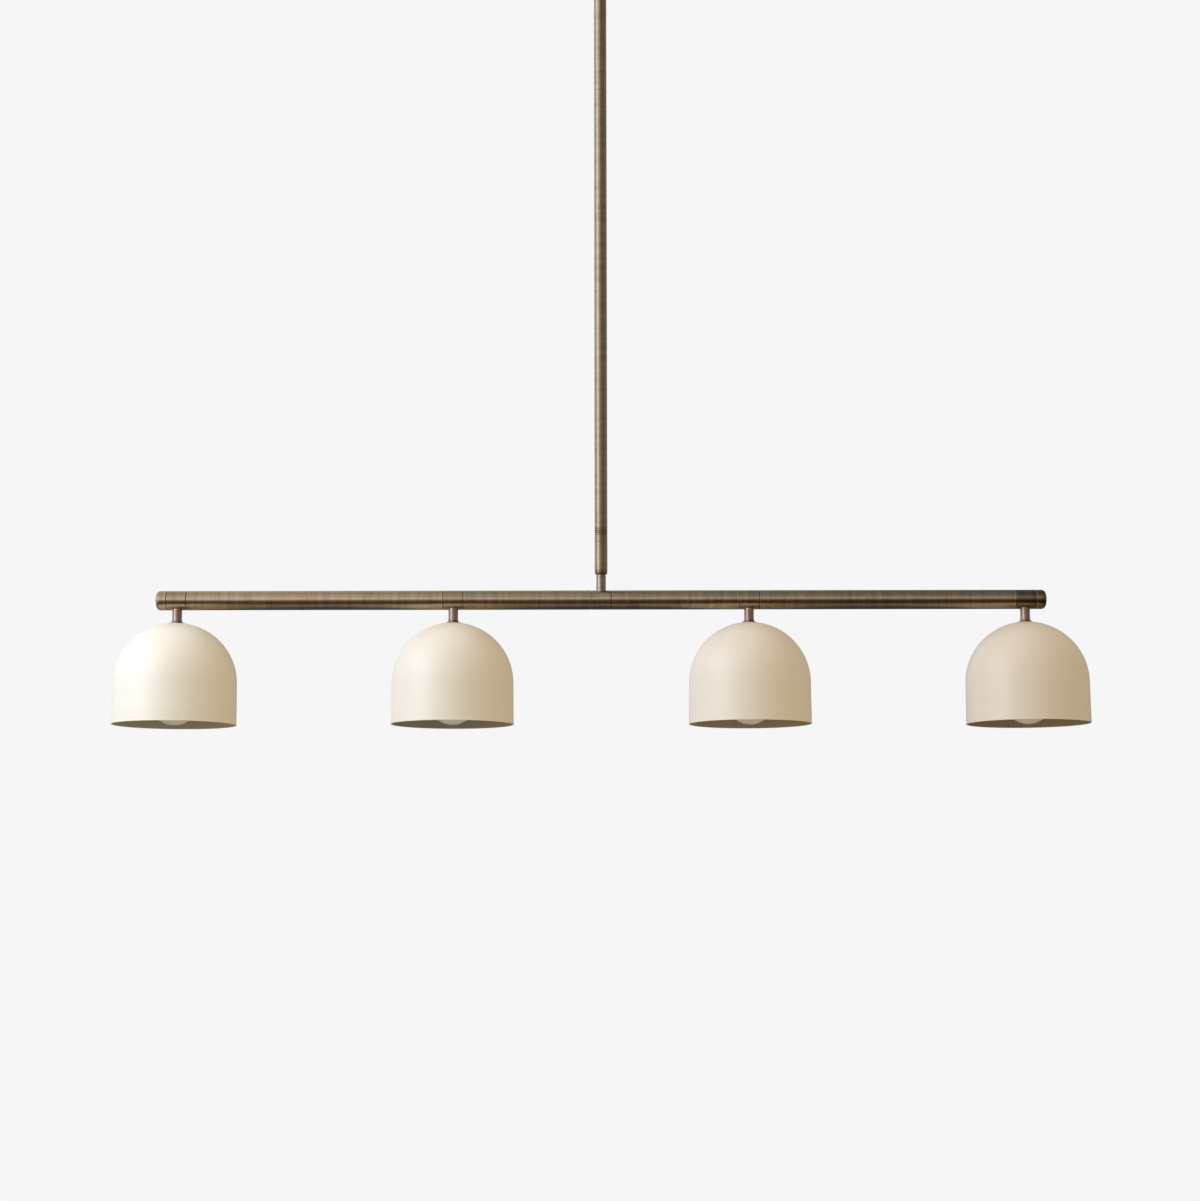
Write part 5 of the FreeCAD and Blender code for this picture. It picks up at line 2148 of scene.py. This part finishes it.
@dataclass
class Bar(Assembly):
    """Tee hub, four lamp hubs, four tubes and two end caps on one line, locked by grub screws."""

    screw_places: tuple[float, ...] = (0.01725, 0.16725, 0.20175, 0.51175, 0.54625)
    screw_face: float = 0.0118
    # painted shade: the levels darken the parts towards the right end of the bar, away from the
    # window lamp; the seeds and the pink are the parts' own tone
    tones_and_shade: tuple[tuple[str, float, float, float], ...] = (
        ("tee_hub", 8.0, 1.0, 0.0),
        ("bar_tube_inner_left", 13.0, 1.0, 0.0),
        ("bar_tube_inner_right", 71.0, 0.95, 0.0),
        ("bar_tube_outer_left", 22.0, 1.1, 0.0),
        ("bar_tube_outer_right", 80.0, 0.9, 0.0),
        ("end_cap_left", 30.0, 1.05, 0.35),
        ("end_cap_right", 88.0, 0.5, 0.0),
        ("lamp_hub_1", 57.0, 0.95, 0.0),
        ("lamp_hub_2", 64.0, 1.0, 0.0),
        ("lamp_hub_3", 78.0, 0.9, 0.0),
        ("lamp_hub_4", 85.0, 0.48, 0.0),
    )

    def finishes(self) -> dict[str, Finish]:
        """Gives each turned part its own tone; the levels also darken the parts towards the right
        end, painted shade.

        Returns:
            The finish for each node's name.
        """
        centre = (0.0, 0.0, BAR_HEIGHT)
        joints = {"end_cap_left": Joints.HIGH, "end_cap_right": Joints.LOW}
        return {
            name: self.brass(name, Axis.X, seed, level, pink, centre, joints.get(name, Joints.BOTH))
            for name, seed, level, pink in self.tones_and_shade
        }

    def make_pieces(self) -> None:
        """The ten grub screws in the back of the bar."""
        across = [side * place for place in self.screw_places for side in (-1.0, 1.0)]
        places = [(x, self.screw_face, BAR_HEIGHT) for x in across]
        piece = GrubScrew().cast("grub_screws", places, BLACK_STEEL, (-math.pi / 2, 0.0, 0.0))
        self.fit(piece, "light", "blackened_steel", "bar_grub_screws")


@dataclass
class Lamps(Assembly):
    """The four lamps: neck, shade, socket and bulb, with the nuts and leads that they share."""

    crown: float = -0.9182
    nut_top: float = -0.9194
    pipe_top: float = -0.8949
    pipe_length: float = 0.0335
    shell_top: float = -0.93475
    bulb_tip: float = -0.9367
    # painted shade: the fourth shade's paint is darker and the inside colours differ from shade to
    # shade, standing for how the light falls on each
    paints_and_shade: tuple[tuple[Colour, Colour], ...] = (
        ((0.70, 0.60, 0.497), (0.37, 0.325, 0.25)),
        ((0.70, 0.60, 0.502), (0.30, 0.263, 0.203)),
        ((0.70, 0.593, 0.502), (0.33, 0.265, 0.19)),
        ((0.675, 0.565, 0.475), (0.29, 0.225, 0.145)),
    )

    def finishes(self) -> dict[str, Finish]:
        """Porcelain sockets, with fittings of plated steel, plain brass and plastic.

        Returns:
            The finish for each node's name.
        """
        found: dict[str, Finish] = {
            "socket_caps": STEEL,
            "socket_contacts": PLAIN_BRASS,
            "lamp_leads": Sheath("lead sheath"),
            "splice_sleeves": Sheath("splice nylon", colour=(0.75, 0.73, 0.66), roughness=0.5),
        }
        for number in LAMP_PLACES:
            found[f"socket_body_{number}"] = Porcelain("porcelain")
        return found

    def row(self, height: float) -> list[Point]:
        """Gives the four lamps' places at a height."""
        return [(place, 0.0, height) for place in LAMP_PLACES.values()]

    def make_pieces(self) -> None:
        """Pipes, nuts and socket threads for all four, then each lamp's shade and bulb."""
        pipe = ThreadedRod(length=self.pipe_length)
        pipes = pipe.cast("lamp_pipes", self.row(self.pipe_top), STEEL)
        self.fit(pipes, "light", "plated_steel", "lamp_nipples")
        nuts = HexNut().cast("shade_nuts", self.row(self.nut_top), STEEL)
        self.fit(nuts, "light", "plated_steel", "shade_locknuts")
        threads = SocketThread().cast("socket_threads", self.row(self.shell_top), PLAIN_BRASS)
        self.fit(threads, "light", "plain_brass", "socket_shells")
        for number, place in LAMP_PLACES.items():
            colour, inside = self.paints_and_shade[number - 1]
            paint = SatinPaint(
                f"champagne satin {number}",
                centre=(place, 0.0, self.crown),
                colour=colour,
                inside=inside,
                seed=number * 4.0,
            )
            shade = SpunShade().cast(f"spun_shade_{number}", [(place, 0.0, self.crown)], paint)
            self.fit(shade, "light", "champagne_satin", f"shade_{number}")
            node = f"lamp_neck_{number}"
            brass = self.brass(node, Axis.Z, 90.0 + number * 5, 1.12, 1.1, (place, 0.0, 0.0))
            neck = FlaredNeck().cast(f"flared_neck_{number}", [(place, 0.0, self.crown)], brass)
            self.fit(neck, "light", "aged_brass", node)
            self.make_bulb(number, (place, 0.0, self.bulb_tip))

    def make_bulb(self, number: int, tip: Point) -> None:
        """Builds one bulb: screw base, button, insulator and glass.

        Args:
            number: the lamp's number from the left.
            tip: the tip of the bulb's base.
        """
        body, node = f"bulb_{number}", f"bulb_base_{number}"
        base = ScrewBase().cast(f"screw_base_{number}", [tip], BULB_METAL)
        self.fit(base, body, "bulb_metal", node)
        button = BaseButton().cast(f"base_button_{number}", [tip], BULB_METAL)
        self.fit(button, body, "bulb_metal", node)
        black = Porcelain("base glass", colour=(0.06, 0.06, 0.07))
        ring = BaseInsulator().cast(f"base_ring_{number}", [tip], black)
        self.fit(ring, body, "porcelain", node)
        glass = BulbGlass().cast(f"frosted_ball_{number}", [tip], FrostedGlass("frosted glass"))
        self.fit(glass, body, "frosted_glass", f"bulb_glass_{number}")


def main() -> None:
    """Builds the pendant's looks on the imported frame."""
    logging.basicConfig(level=logging.INFO, format="%(message)s")
    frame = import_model()
    bpy.context.scene.view_settings.view_transform = "Standard"
    for kind in (CeilingFixing, Swivel, Stem, Bar, Lamps):
        kind(frame["nodes"]).build()
    Studio().build()
    Viewpoint().build()


if __name__ == "__main__":
    main()
